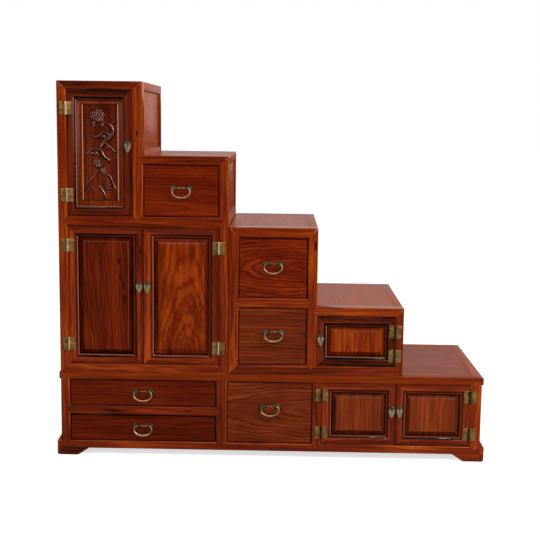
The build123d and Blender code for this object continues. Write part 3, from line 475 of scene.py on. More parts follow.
def dressWood(node, body, finish, figures=(), shadeAndPatina=(), base=0.0, rim=0.0, arris=0.45, arrisLight=0.0,
              second=None):
    # a CAD node's own mesh with eased arrises and its grain laid out stick by stick
    bm = bmesh.new()
    bm.from_mesh(frame["nodes"][node].data)
    bmesh.ops.remove_doubles(bm, verts=bm.verts, dist=mergeWithin)
    bmesh.ops.dissolve_limit(bm, angle_limit=math.radians(dressing["flat"]), verts=bm.verts, edges=bm.edges,
                             delimit=set())
    bm.normal_update()
    easeChamfers(bm)
    if rim:
        rimFronts(bm, rim)
    easeArrises(bm, arris)
    if figures and "bow" in figures[0]:
        sliceLevel(bm, dressing["slices"])
    rng = random.Random(node)
    addGrainLayers(bm)
    for number, part in enumerate(looseParts(bm)):
        writeGrain(bm, part, figures[number] if number < len(figures) else {}, rng, base)
        # the case's cross members and the drawers' boxes have a finish of their own
        low, high = corners(part)
        across = high.y - low.y > max(high.x - low.x, high.z - low.z)
        if second and (across or number and body != "case"):
            for face in {f for v in part for f in v.link_faces}:
                face.material_index = 1
    if arrisLight:
        paintArrisLight(bm, arrisLight)
    if shadeAndPatina:
        addShadeAndPatina(bm, shadeAndPatina)
    made = finishMesh(bm, f"{node}_wood", [woods[finish]] + ([woods[second]] if second else []))
    return declare(made, body, [node])


caseWood = {
    "railWood": {"slot": "frame_wood", "nodes": ("base_frame", "tall_frame", "low_frame", "base_feet")},
    "topWood": {"slot": "frame_wood", "nodes": ("base_top", "tall_tops", "low_tops")},
    "sideWood": {"slot": "panel_wood", "nodes": ("base_side_panels", "tall_side_panels", "low_side_panels")},
    "innerWood": {"slot": "board_wood", "nodes": (
        "base_back_boards", "tall_back_boards", "low_back_boards", "base_floor", "base_divisions",
        "tall_boards", "low_boards")},
}
caseTones = {"base_frame": -0.6, "base_feet": -0.6, "base_top": -0.5}
for finish, group in caseWood.items():
    for node in group["nodes"]:
        tone = caseTones.get(node, 0.0)
        if "top" in node:
            dressWood(node, "case", finish, [{"tone": tone}] * 24)
        elif "frame" in node:
            # frame arrises get painted light where they face up and right, and painted shade where they face
            # down and left
            dressWood(node, "case", finish, base=tone, arrisLight=2.2, rim=2.0, second="topWood")
        else:
            dressWood(node, "case", finish, base=tone)
print("case dressed")

# a door's panel: where the pith line runs beside and below its face, and how it leans out of it
doorPanels = {
    "carved_door": {"finish": "groundWood", "shift": 18, "depth": 20, "lean": 0.06, "start": 0, "tone": -0.2},
    "tall_left_door": {"finish": "panelWood", "shift": -30, "depth": 6, "lean": 0.07, "start": 60,
                       "tone": 0.2, "swing": -0.05},
    "tall_right_door": {"finish": "paleWood", "shift": 22, "depth": 0, "lean": 0.5, "start": -215,
                        "tone": 0.0, "bow": 0.56},
    "low_door": {"finish": "paleWood", "shift": 40, "depth": 14, "lean": 0.1, "start": 0,
                 "tone": 0.8, "along": 2},
    "base_left_door": {"finish": "duskWood", "shift": -6, "depth": 6, "lean": 0.07, "start": 40,
                       "tone": -0.6, "along": 2},
    "base_right_door": {"finish": "duskWood", "shift": 60, "depth": 24, "lean": 0.05, "start": 0,
                        "tone": -0.2, "along": 2},
}
doorFrameTones = {"carved_door": -0.4, "low_door": -1.6}
# door frames: painted highlight on the arris and the lip, painted shade in the cove and below the lip, with
# some dark polish in the hollows; panels: painted shade round the raised field's edges
frameShadeAndPatina = [(1.3, 0.2, -1.0), (1.3, 1.0, 0.8), (18.0, 30.0, -1.2), (22.6, 1.0, 0.9), (24.0, 2.6, -3.6),
               (30.5, 5.0, -2.4), (34.5, 4.5, 1.0), (40.0, 9.5, -5.0)]
panelShadeAndPatina = [(500.0, 0.6, 0.1), (500.0, 2.2, -1.6), (500.0, 5.0, -1.3)]
# the carved panel's front margin is drawn lighter, and its sunken field a little lighter
carvedDepthTones = [(500.0, 0.6, 1.0), (500.0, 12.0, 0.2)]
for door, figure in doorPanels.items():
    dressWood(f"{door}_frame", door, "doorWood", shadeAndPatina=frameShadeAndPatina, arris=0.9,
              base=doorFrameTones.get(door, 0.4))
    dressWood(f"{door}_panel", door, figure["finish"], [figure],
              shadeAndPatina=carvedDepthTones if door == "carved_door" else panelShadeAndPatina)
print("doors dressed")

drawerFronts = {
    "wide_lower_drawer": {"finish": "drawerWood", "shift": 44, "depth": 30, "lean": 0.02, "start": 0,
                          "tone": -1.2},
    "wide_upper_drawer": {"finish": "drawerWood", "shift": -20, "depth": 16, "lean": 0.03, "start": 0,
                          "tone": -0.7},
    "deep_drawer": {"finish": "duskFigured", "shift": 10, "depth": 0, "lean": 0.16, "start": 190,
                    "tone": -0.4},
    "tall_drawer": {"finish": "drawerWood", "shift": -60, "depth": 30, "lean": 0.03, "start": 0,
                    "tone": 0.6},
    "low_lower_drawer": {"finish": "duskFigured", "shift": 6, "depth": 8, "lean": 0.05, "start": -60,
                         "tone": -0.5},
    "low_upper_drawer": {"finish": "figuredWood", "shift": 0, "depth": 0, "lean": -0.27, "start": 92,
                         "tone": -0.2},
}
# painted shade along the drawer fronts' edges, for the shadow in the gaps round them
drawerEdgeShade = [(0.4, 4.0, -2.6), (3.0, 4.0, -2.4)]
for drawer, figure in drawerFronts.items():
    dressWood(drawer, drawer, figure["finish"], [figure], shadeAndPatina=drawerEdgeShade, rim=3.5,
              second="innerWood")
print("drawers dressed")


# brassware

# tarnish in three colours, how rough it is, how fine its stains and how deep its engraving
metalLooks = {
    "oliveBrass": {"dark": "5c4220", "mid": "aa7e3e", "light": "d4aa6c", "rough": 0.45, "scale": 330.0,
                   "relief": 0.3, "metallic": 0.7},
    # the barrels' brass: a near-white copy that paints their glint, and a dark copy that paints them in shade
    "glintBrass": {"dark": "c9ab84", "mid": "ecd0aa", "light": "fff0d8", "rough": 0.25, "scale": 200.0,
                    "relief": 0.1, "metallic": 0.7},
    "shadedBrass": {"dark": "1c140b", "mid": "33261a", "light": "5a4a34", "rough": 0.45, "scale": 260.0,
                  "relief": 0.2, "metallic": 0.7},
    "pullBrass": {"dark": "6e6046", "mid": "aa9c76", "light": "d2c39c", "rough": 0.38, "scale": 300.0,
                  "relief": 0.3, "metallic": 0.45},
    "darkBronze": {"dark": "29251d", "mid": "575042", "light": "8b8068", "rough": 0.45, "scale": 420.0,
                   "relief": 0.4, "metallic": 0.7},
    "bailBronze": {"dark": "84694e", "mid": "b09474", "light": "cdb292", "rough": 0.4, "scale": 120.0,
                   "relief": 0.05, "metallic": 0.7},
}
tarnish = {"wideScale": 60.0, "wide": 0.5, "fine": 0.6, "cutScale": 0.9, "cutWidth": 0.09, "cutDark": -0.16,
           "stops": (0.36, 0.55, 0.74), "roughness": 0.24, "stainRelief": 0.5, "cutRelief": 2.0,
           "reliefDepth": 0.0003}


def makeMetal(name, look):
    mat, tree = newMaterial(name)
    place = addNode(tree, "ShaderNodeTexCoord").outputs["Object"]
    stain = {"Vector": place, "Scale": look["scale"], "Detail": 4.0}
    stain = addNode(tree, "ShaderNodeTexNoise", stain).outputs[0]
    wide = {"Vector": place, "Scale": tarnish["wideScale"], "Detail": 2.0}
    wide = addNode(tree, "ShaderNodeTexNoise", wide).outputs[0]
    cut = {"Vector": place, "Scale": look["scale"] * tarnish["cutScale"]}
    cut = addNode(tree, "ShaderNodeTexVoronoi", cut, feature="DISTANCE_TO_EDGE").outputs[0]
    value = maths(tree, "MULTIPLY", stain, tarnish["fine"])
    value = maths(tree, "MULTIPLY_ADD", wide, tarnish["wide"], value)
    value = maths(tree, "MULTIPLY_ADD", maths(tree, "LESS_THAN", cut, tarnish["cutWidth"]),
                  tarnish["cutDark"] * look["relief"], value)
    colours = [hexColor(look[key]) for key in ("dark", "mid", "light")]
    height = maths(tree, "MULTIPLY_ADD", stain, tarnish["stainRelief"],
                   maths(tree, "MULTIPLY", cut, tarnish["cutRelief"], clamp=True))
    bump = addNode(tree, "ShaderNodeBump", {"Strength": look["relief"], "Distance": tarnish["reliefDepth"],
                                            "Height": height})
    rough = maths(tree, "MULTIPLY_ADD", stain, tarnish["roughness"], look["rough"] - tarnish["roughness"] / 2)
    shader = addNode(tree, "ShaderNodeBsdfPrincipled", {
        "Base Color": ramp(tree, value, list(zip(tarnish["stops"], colours))), "Roughness": rough,
        "Metallic": look["metallic"], "Normal": bump.outputs[0],
    })
    addNode(tree, "ShaderNodeOutputMaterial", {"Surface": shader.outputs[0]})
    return mat


metals = {name: makeMetal(name, look) for name, look in metalLooks.items()}
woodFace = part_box("tall_frame")[0][1]
# turns a drawing's x, y and height to the chest's x, z and front
inFront = Matrix.Rotation(math.radians(90), 4, "X")
alongX = Matrix.Rotation(math.radians(90), 4, "Y")


def at(x, y, z):
    return Matrix.Translation((x, y, z))


def cutCorners(points, following):
    # a line with each of its corners cut off
    return [p.lerp(q, t) for p, q in zip(points, following) for t in (0.25, 0.75)]


def rounded(points, rounds=2):
    # a closed outline with its corners cut again and again
    for number in range(rounds):
        points = cutCorners(points, points[1:] + points[:1])
    return points


def smoothLine(points, rounds=2):
    # an open line with its corners cut again and again, and its ends kept
    for number in range(rounds):
        points = [points[0]] + cutCorners(points, points[1:]) + [points[-1]]
    return points


def mirrored(half):
    # a closed outline from its right half and that half's mirror image
    return half + [Vector((-p.x, p.y)) for p in reversed(half)]


def absorb(bm, part, matrix, finish):
    # moves a part made by itself into the piece it belongs to
    for face in part.faces:
        face.material_index = finish
    bmesh.ops.transform(part, matrix=matrix, verts=part.verts)
    mesh = bpy.data.meshes.new("part")
    part.to_mesh(mesh)
    part.free()
    bm.from_mesh(mesh)
    bpy.data.meshes.remove(mesh)


def absorbCurve(bm, data, matrix, finish):
    holder = bpy.data.objects.new("holder", data)
    mesh = bpy.data.meshes.new_from_object(holder)
    bpy.data.objects.remove(holder)
    bpy.data.curves.remove(data)
    part = bmesh.new()
    part.from_mesh(mesh)
    bpy.data.meshes.remove(mesh)
    bmesh.ops.remove_doubles(part, verts=part.verts, dist=2 * mergeWithin)
    absorb(bm, part, matrix, finish)


def addPlate(bm, outlines, thick, matrix, rounding, finish=0):
    # a plate cut to an outline, with holes if more outlines follow, and rounded arrises
    data = bpy.data.curves.new("outline", "CURVE")
    data.dimensions, data.fill_mode = "2D", "BOTH"
    data.extrude, data.bevel_depth, data.bevel_resolution = thick / 2 - rounding, rounding, 1
    data.offset = -rounding
    for outline in outlines:
        spline = data.splines.new("POLY")
        spline.points.add(len(outline) - 1)
        for knot, point in zip(spline.points, outline):
            knot.co = (point.x, point.y, 0.0, 1.0)
        spline.use_cyclic_u = True
    absorbCurve(bm, data, matrix @ at(0, 0, thick / 2), finish)


def addRod(bm, points, radii, matrix, closed=False, sides=2):
    # a round rod that follows points, with a radius at each
    data = bpy.data.curves.new("rod", "CURVE")
    data.dimensions = "3D"
    data.bevel_depth, data.bevel_resolution, data.use_fill_caps = 1.0, sides, True
    spline = data.splines.new("POLY")
    spline.points.add(len(points) - 1)
    for knot, point, radius in zip(spline.points, points, radii):
        knot.co = (*point, 1.0)
        knot.radius = radius
    spline.use_cyclic_u = closed
    absorbCurve(bm, data, matrix, 0)


def addTurned(bm, profile, matrix, steps, finish=0):
    # spins a profile of (radius, height) points, in millimetres, about the height
    part = bmesh.new()
    verts = [part.verts.new((radius * mm, 0.0, height * mm)) for radius, height in profile]
    edges = [part.edges.new(pair) for pair in zip(verts, verts[1:])]
    bmesh.ops.spin(part, geom=verts + edges, cent=(0, 0, 0), axis=(0, 0, 1), angle=math.tau, steps=steps,
                   use_merge=True)
    bmesh.ops.remove_doubles(part, verts=part.verts, dist=mergeWithin)
    absorb(bm, part, matrix, finish)


def addBlock(bm, size, matrix, rounding, finish=0):
    # a block with rounded arrises, its size in millimetres
    part = bmesh.new()
    bmesh.ops.create_cube(part, size=1.0)
    bmesh.ops.scale(part, vec=Vector(size) * mm, verts=part.verts)
    easeEdges(part, part.edges[:], rounding)
    absorb(bm, part, matrix, finish)


def finishPiece(bm, name, materials, body, nodes, smoothAngle=40):
    bmesh.ops.recalc_face_normals(bm, faces=bm.faces)
    return declare(finishMesh(bm, name, materials, smoothAngle), body, nodes)


# a butterfly hinge, in millimetres: nails beside and above its middle, and their dome as radius and height
hinge = {
    "leaf": 22.2, "high": 46.0, "thick": 1.9, "rounding": 0.5,
    "scallops": 3, "rise": 2.0, "corner": 1.6,
    "rimNear": 2.0, "rimFar": 0.6, "rimEnd": 3.0, "rimRadius": 0.5,
    "barrel": 3.35, "collar": 1.2, "out": 3.6, "gap": 0.3,
    "nails": ((7.6, 17.5), (7.6, -17.5), (16.6, 15.3), (16.6, -15.3), (15.0, 0.0), (7.6, 0.0)),
    "dome": ((0.0, 0.9), (0.75, 0.75), (1.3, 0.35), (1.5, -0.2), (0.0, -0.2)),
    "web": (3.4, 1.6), "webAt": (3.1, 1.0),
}


def leafOutline(near, far):
    # straight by the barrel and at both ends, with scallops on the far side, each fuller than half a wave
    lobe, points = hinge["high"] / hinge["scallops"], 7
    half = hinge["high"] / 2
    outline = [Vector((near, -half)), Vector((far - hinge["corner"], -half))]
    for number in range(hinge["scallops"]):
        for step in range(points):
            turn = math.pi * (step + 0.15) / (points - 0.7)
            rise = hinge["rise"] * math.sin(turn) ** 0.7
            outline.append(Vector((far + rise, lobe * (number + 0.5 - 0.5 * math.cos(turn)) - half)))
    return outline + [Vector((far - hinge["corner"], half)), Vector((near, half))]


def addLeaf(bm, axisX, height, side, steps, barrelFinish):
    # one leaf of a butterfly hinge: scalloped plate, nails and its barrel pieces
    barrel, thick = hinge["barrel"], hinge["thick"] * mm
    near, far = barrel + 0.5, hinge["leaf"] - hinge["rise"]
    place = at(axisX, woodFace, height) @ inFront
    outline = [Vector((side * p.x, p.y)) * mm for p in leafOutline(near, far)]
    addPlate(bm, [outline], thick, place, rounding=hinge["rounding"] * mm)
    inner, outer, end = near + hinge["rimNear"], far - hinge["rimFar"], hinge["high"] / 2 - hinge["rimEnd"]
    rim = ((inner, -end), (outer, -end), (outer, end), (inner, end))
    rim = [Vector((side * x, y, 0)) * mm for x, y in rim]
    addRod(bm, rim, [hinge["rimRadius"] * mm] * 4, place @ at(0, 0, thick), closed=True, sides=1)
    for x, z in hinge["nails"]:
        addTurned(bm, hinge["dome"], place @ at(side * x * mm, z * mm, thick), steps=10)
    lobe, collar = hinge["high"] / hinge["scallops"], barrel - hinge["collar"]
    half = lobe / 2 - hinge["gap"] / 2
    upper = [(0.0, half), (collar - 0.2, half), (collar, half - 0.35), (barrel - 0.5, half - 0.35),
             (barrel, half - 0.9)]
    knuckle = upper + [(radius, -level) for radius, level in reversed(upper)]
    for step in steps:
        middle = height + step * lobe * mm
        addTurned(bm, knuckle, at(axisX, woodFace - hinge["out"] * mm, middle), steps=20, finish=barrelFinish)
        web = at(axisX + side * hinge["webAt"][0] * mm, woodFace - hinge["webAt"][1] * mm, middle)
        addBlock(bm, (*hinge["web"], 2 * half), web, rounding=0.3 * mm)


def hingeHeights(door):
    # the middles of a door's two hinges, from the ends of its brass
    low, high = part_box(f"{door}_brass")
    return high[2] - hinge["high"] / 2 * mm, low[2] + hinge["high"] / 2 * mm


# a rosette with its boss as radius and height, and the leaf-shaped drop in its eye, in millimetres
pull = {
    "rosette": 10.4, "petals": 10, "petalDeep": 0.09, "thick": 1.6, "rise": 3.5,
    "boss": ((0.0, 3.0), (2.2, 2.9), (4.4, 2.3), (5.6, 1.9), (6.0, 2.3), (6.8, 2.3), (7.2, 1.8), (7.4, 1.2),
             (0.0, 1.2)),
    "axisOut": 7.2, "eye": 2.25, "eyeWide": 5.0, "stalk": (4.2, 2.4),
    "half": 10.6, "long": 29.0, "shoulder": 3.8, "drop": 2.3, "cleft": 3.05, "cleftDeep": 3.3,
    "holeRadius": 1.7, "holeAt": -8.2, "bar": 3.6, "barRadius": 1.05,
    # the raised heart is the drop's lower part, drawn smaller about one height and moved to another
    "heartTop": -5, "heart": 0.62, "heartFrom": -10.5, "heartTo": -13.5, "heartRadius": 0.45,
}


def addRosette(bm, centre):
    # a scalloped rosette with a turned boss, and the eye that the pull hangs in
    rim, steps = [], 60
    for step in range(steps):
        turn = math.tau * step / steps
        petal = pull["petalDeep"] * abs(math.cos(pull["petals"] / 2 * turn))
        reach = pull["rosette"] * mm * (1 - pull["petalDeep"] + petal)
        rim.append(Vector((reach * math.sin(turn), reach * math.cos(turn))))
    face = at(centre.x, woodFace, centre.z + pull["rise"] * mm) @ inFront
    addPlate(bm, [rim], pull["thick"] * mm, face, rounding=0.4 * mm, finish=3)
    addTurned(bm, pull["boss"], face, steps=28, finish=3)
    # the eye's stalk starts a millimetre from the wood, inside the rosette
    wide, high = pull["stalk"]
    stalk = at(centre.x, woodFace - (pull["axisOut"] + 1.0) / 2 * mm, centre.z)
    addBlock(bm, (wide, pull["axisOut"] - 1.0, high), stalk, rounding=0.5 * mm, finish=3)
    half, eye = pull["eyeWide"] / 2, pull["eye"]
    upper = [(0.0, half), (eye - 0.6, half), (eye, half - 0.6)]
    ring = upper + [(radius, -level) for radius, level in reversed(upper)]
    axis = at(centre.x, woodFace - pull["axisOut"] * mm, centre.z)
    addTurned(bm, ring, axis @ alongX, steps=18, finish=3)


def dropOutline():
    # its right half from the point upwards, with the cleft at its head
    half, long, shoulder = pull["half"], pull["long"], pull["shoulder"]
    right = [(0, -long), (0, -long), (0.3 * half, -0.86 * long), (0.62 * half, -0.62 * long),
             (0.98 * half, -0.32 * long), (1.02 * half, -0.05 * long), (0.86 * half, 0.75 * shoulder),
             (0.5 * half, 1.05 * shoulder)]
    cleft = [(pull["cleft"], 0.8 * shoulder)] * 2 + [(pull["cleft"], -pull["cleftDeep"])] * 2
    return rounded(mirrored([Vector(p) * mm for p in right + cleft]))


def addDrop(bm, centre):
    # a leaf-shaped drop: a raised heart on its face, a pierced spot and the bar it hangs by
    thick = pull["drop"] * mm
    leaf = dropOutline()
    face = at(centre.x, woodFace - (pull["axisOut"] - pull["drop"] / 2) * mm, centre.z) @ inFront
    turns = [math.tau * step / 14 for step in range(14)]
    radius, level = pull["holeRadius"] * mm, pull["holeAt"] * mm
    hole = [Vector((radius * math.sin(turn), radius * math.cos(turn) + level)) for turn in turns]
    addPlate(bm, [leaf, hole], thick, face, rounding=0.6 * mm)
    small, before, after = pull["heart"], pull["heartFrom"] * mm, pull["heartTo"] * mm
    heart = [Vector((p.x * small, (p.y - before) * small + after, 0)) for p in leaf
             if p.y < pull["heartTop"] * mm]
    addRod(bm, heart, [pull["heartRadius"] * mm] * len(heart), face @ at(0, 0, thick), closed=True, sides=1)
    bar = [Vector((x * mm, 0, 0)) for x in (-pull["bar"], pull["bar"])]
    axis = at(centre.x, woodFace - pull["axisOut"] * mm, centre.z)
    addRod(bm, bar, [pull["barRadius"] * mm] * 2, axis, sides=3)


caseHinges = bmesh.new()
hingeMetals = [metals[name] for name in ("oliveBrass", "glintBrass", "shadedBrass", "darkBronze")]
for door in doorPanels:
    swing = pivots[f"{door}_swing"]
    hung = pivots[f"{door}_pull_swing"]
    inward = 1 if hung.x > swing.x else -1
    # the barrels on the tall chest get the painted glint, the others the painted shade
    barrelFinish = 1 if "carved" in door or "tall" in door else 2
    bm = bmesh.new()
    for height in hingeHeights(door):
        addLeaf(bm, swing.x, height, inward, (0,), barrelFinish)
        addLeaf(caseHinges, swing.x, height, -inward, (-1, 1), barrelFinish)
    addRosette(bm, hung)
    finishPiece(bm, f"{door}_brassware", hingeMetals, door, [f"{door}_brass"])
    bm = bmesh.new()
    addDrop(bm, hung)
    finishPiece(bm, f"{door}_pull_drop", [metals["pullBrass"]], f"{door}_pull", [f"{door}_drop"])
finishPiece(caseHinges, "case_hinge_leaves", hingeMetals, "case", ["case_hinges"])
print("doors have their brassware")

# a bail on two turned posts before a bat-winged plate, in millimetres; the wing is the plate's right half
handle = {
    "post": 23.0, "out": 9.5, "plate": 1.5, "waist": (26, 1.6, 4.6), "waistOut": 1.9,
    "nails": ((33.5, 1.2), (28.3, 6.6), (28.0, -6.8)),
    "dome": ((0.0, 0.8), (0.6, 0.65), (1.0, 0.3), (1.2, -0.2), (0.0, -0.2)),
    "wing": ((9, -3.0), (15, -4.2), (21, -6.4), (27.5, -10.2), (33.5, -8.6), (36.2, -2.6), (39.6, 1.4),
             (36.6, 5.4), (31.8, 8.0), (28.6, 10.6), (25.0, 8.2), (21.0, 4.8), (15, 3.8), (9, 3.0)),
    "half": 31.5, "endX": 29.3, "low": 12.0, "drop": 33.0, "end": 2.15, "middle": 3.05,
    "pin": 1.8, "pinX": 21.5, "bend": (2.6, 4.2),
}


def addHandlePlate(bm, centre, face):
    # a bat-winged plate with a raised bar at its waist, small nails and two turned posts
    front = at(centre.x, face, centre.z) @ inFront
    wing = [Vector(point) * mm for point in handle["wing"]]
    addPlate(bm, [rounded(mirrored(wing))], handle["plate"] * mm, front, rounding=0.4 * mm)
    waist = at(centre.x, face - handle["waistOut"] * mm, centre.z)
    addBlock(bm, handle["waist"], waist, rounding=0.7 * mm, finish=1)
    out = handle["out"]
    post = [(0.0, out + 2.9), (1.6, out + 2.7), (2.9, out + 1.9), (3.5, out + 0.4), (3.4, out - 1.4),
            (2.6, out - 2.8), (2.5, 3.4), (3.4, 2.6), (4.8, 2.2), (5.0, 1.2), (0.0, 1.2)]
    for side in (-1, 1):
        for x, z in handle["nails"]:
            spot = at(side * x * mm, z * mm, handle["plate"] * mm)
            addTurned(bm, handle["dome"], front @ spot, steps=10, finish=1)
        addTurned(bm, post, front @ at(side * handle["post"] * mm, 0, 0), steps=20)


def addBail(bm, centre):
    # a swelling bow hung from two pins
    wide, low, drop = handle["half"], handle["low"], handle["drop"] - handle["low"]
    past = math.acos(handle["endX"] / wide)
    points, radii = [], []
    steps = 28
    for step in range(steps + 1):
        share = step / steps
        turn = math.pi - past + share * (math.pi + 2 * past)
        points.append(Vector((wide * math.cos(turn), 0, -low + drop * math.sin(turn))))
        swell = math.sin(math.pi * share) ** 1.2
        radii.append(handle["end"] + (handle["middle"] - handle["end"]) * swell)
    for side in (0, -1):
        # each end bends inwards to its pin
        end = points[side]
        outward = 1 if end.x > 0 else -1
        across, up = handle["bend"]
        bend = [Vector((end.x - outward * across * (1 - math.cos(t)), 0, end.z + up * math.sin(t)))
                for t in (0.5, 1.0, math.pi / 2)]
        run = bend + [Vector((outward * handle["pinX"], 0, bend[-1].z))]
        thin = [handle["end"] - 0.1, handle["pin"] + 0.15, handle["pin"], handle["pin"]]
        if side:
            points, radii = points + run, radii + thin
        else:
            points, radii = run[::-1] + points, thin[::-1] + radii
    addRod(bm, [point * mm for point in points], [radius * mm for radius in radii], at(*centre), sides=4)


for drawer in drawerFronts:
    centre = pivots[f"{drawer}_handle_swing"]
    face = centre.y + handle["out"] * mm
    bm = bmesh.new()
    addHandlePlate(bm, centre, face)
    finishPiece(bm, f"{drawer}_handle_plate", [metals["darkBronze"], metals["oliveBrass"]], drawer,
                [f"{drawer}_plate"])
    bm = bmesh.new()
    addBail(bm, centre)
    finishPiece(bm, f"{drawer}_handle_bail", [metals["bailBronze"]], f"{drawer}_handle", [f"{drawer}_bail"])
print("drawers have their handles")


# carving on the tall chest's upper door: an old tree over rocks, in low relief

# the panel's sunken field: its edges, and how deep its ground and the margin around it lie, in millimetres
field = {"left": -658.0, "right": -536.0, "foot": 916.5, "top": 1245.5, "depth": 10.5, "margin": 6.5}
carving = {
    "branchSwell": 1.5, "branchIn": 0.2,
    "leafSwell": 1.15, "leafHigh": 3.4, "leafSlim": 0.66, "leafSizes": (0.8, 1.15), "leafTurns": (-0.5, 0.5),
    # halos round the strokes: how far they spread and rise, and their dark tone, painted shade of the
    # crevices and partly dark wax there
    "hollowRound": 2.2, "hollowHigh": 0.5, "haloShade": -3.2,
    # the tone of what faces away from the light, and where slopes and ridges begin to face it
    "shade": -3.4, "ridge": 3.4, "lit": (0.5, -0.74, 0.45), "litRise": 1.5,
    "slopeFrom": 0.25, "slopeTo": 0.75, "ridgeFrom": 0.9,
}
# strokes as (from the field's left, from its foot, half width), all in millimetres
branches = [
    [(54, 280, 1.8), (72, 268, 2.4), (95, 259, 2.8), (103, 249, 3.6), (105, 236, 4.0), (103, 224, 3.8),
     (95, 214, 3.4), (82, 205, 3.2), (71, 196, 3.6), (64, 184, 4.0), (63, 170, 4.0), (69, 156, 3.8),
     (79, 145, 3.4), (89, 141, 2.8), (91, 131, 2.2)],
    [(98, 260, 1.8), (108, 268, 1.6), (118, 271, 1.2)],
    [(31, 221, 1.4), (40, 214, 2.4), (54, 218, 2.8), (67, 230, 2.8), (79, 234, 2.4), (90, 227, 1.8),
     (94, 218, 1.2)],
    [(74, 197, 2.2), (89, 189, 2.2), (101, 177, 2.0), (111, 166, 1.2)],
    [(62, 171, 2.2), (50, 178, 2.2), (37, 176, 2.0), (24, 167, 1.8), (11, 157, 1.0)],
    [(76, 94, 1.6), (88, 86, 2.2), (98, 76, 2.4), (102, 60, 2.4), (111, 42, 2.2), (119, 29, 1.4)],
    [(68, 72, 1.6), (69, 63, 2.0), (68, 54, 1.4)],
    [(53, 50, 1.4), (62, 39, 2.2), (70, 29, 2.2), (77, 14, 2.2), (80, 3, 1.6)],
    [(49, 101, 1.2), (36, 79, 1.8), (18, 59, 1.8), (8, 42, 1.8), (6, 30, 1.2)],
]
# clusters of leaves as (middle, how many, how far they spread across and up, size of a leaf)
clusters = [
    {"at": (50, 290), "count": 26, "spread": (25, 19), "leaf": 5.2},
    {"at": (38, 262), "count": 4, "spread": (5, 7), "leaf": 4.2},
    {"at": (66, 258), "count": 4, "spread": (6, 6), "leaf": 4.2},
    {"at": (70, 219), "count": 6, "spread": (5, 4), "leaf": 3.8},
    {"at": (86, 182), "count": 4, "spread": (7, 3), "leaf": 3.4},
    {"at": (42, 160), "count": 6, "spread": (12, 4), "leaf": 3.6},
    {"at": (50, 126), "count": 16, "spread": (17, 12), "leaf": 4.0},
    {"at": (71, 101), "count": 16, "spread": (12, 10), "leaf": 3.6},
    {"at": (86, 46), "count": 6, "spread": (8, 12), "leaf": 3.6},
    {"at": (30, 38), "count": 5, "spread": (12, 10), "leaf": 3.6},
]
ground = woodFace + field["depth"] * mm


def addBump(bm, place, size, segments, rings):
    # a low rounded bump on the sunken ground
    matrix = place @ Matrix.Diagonal((*size, 1.0))
    bmesh.ops.create_uvsphere(bm, u_segments=segments, v_segments=rings, radius=1.0, matrix=matrix)


def carveBranches(bm, shadeHalos):
    soft = carving["hollowRound"] * mm
    for stroke in branches:
        # x, z and half width go through the smoothing together
        line = [Vector((field["left"] + x, field["foot"] + z, width)) * mm for x, z, width in stroke]
        line = smoothLine(line)
        points = [Vector((p.x, 0, p.y)) for p in line]
        widths = [carving["branchSwell"] * p.z for p in line]
        addRod(bm, points, widths, at(0, ground + carving["branchIn"] * mm, 0), sides=3)
        for point, width in zip(points[::2], widths[::2]):
            size = (width + soft, carving["hollowHigh"] * mm, width + soft)
            addBump(shadeHalos, at(point.x, ground, point.z), size, 16, 6)


def carveLeaves(bm, shadeHalos):
    rng = random.Random("leaves")
    for cluster in clusters:
        for number in range(cluster["count"]):
            # spread like seeds in a flower's head
            reach, turn = math.sqrt((number + 0.5) / cluster["count"]), number * 2.4
            x = cluster["at"][0] + cluster["spread"][0] * reach * math.cos(turn)
            z = cluster["at"][1] + cluster["spread"][1] * reach * math.sin(turn)
            length = carving["leafSwell"] * cluster["leaf"] * rng.uniform(*carving["leafSizes"])
            turn = rng.uniform(*carving["leafTurns"]) - turn
            place = at((field["left"] + x) * mm, ground, (field["foot"] + z) * mm)
            place = place @ Matrix.Rotation(turn, 4, "Y")
            leaf = (bm, length, carving["leafHigh"])
            halo = (shadeHalos, length + carving["hollowRound"], carving["hollowHigh"])
            for made, long, high in (leaf, halo):
                addBump(made, place, (long * mm, high * mm, carving["leafSlim"] * long * mm), 14, 8)


def carve():
    bm, shadeHalos = bmesh.new(), bmesh.new()
    carveBranches(bm, shadeHalos)
    carveLeaves(bm, shadeHalos)
    rng = random.Random("carving")
    figure = {key: doorPanels["carved_door"][key] for key in ("shift", "depth", "lean")}
    # the halos take a dark tone, painted shade round the strokes and partly dark wax in the crevices; the
    # strokes' own tone is set again below
    figure.update(along=2, tone=carving["haloShade"])
    for made in (bm, shadeHalos):
        addGrainLayers(made)
        writeGrain(made, list(made.verts), figure, rng)
    # painted light and shade: ridges are painted light where they face up and right, as a highlight, and
    # painted dark as shade where they turn away
    toneLayer = bm.verts.layers.float["tone"]
    bm.normal_update()
    lit = Vector(carving["lit"]).normalized()
    flat, full, sharp = carving["slopeFrom"], carving["slopeTo"], carving["ridgeFrom"]
    for vert in bm.verts:
        raised = min(1.0, (ground - vert.co.y) / mm / carving["litRise"])
        facing = vert.normal.dot(lit)
        ridge = carving["ridge"] * max(0.0, (facing - sharp) / (1 - sharp)) ** 2
        slope = min(1.0, max(0.0, facing - flat) / (full - flat))
        vert[toneLayer] = carving["shade"] * (1 - slope * raised) + ridge
    for made, name in ((bm, "carved_tree"), (shadeHalos, "carved_tree_shade_halos")):
        finishPiece(made, name, [woods["carvedWood"]], "carved_door", [], 60)


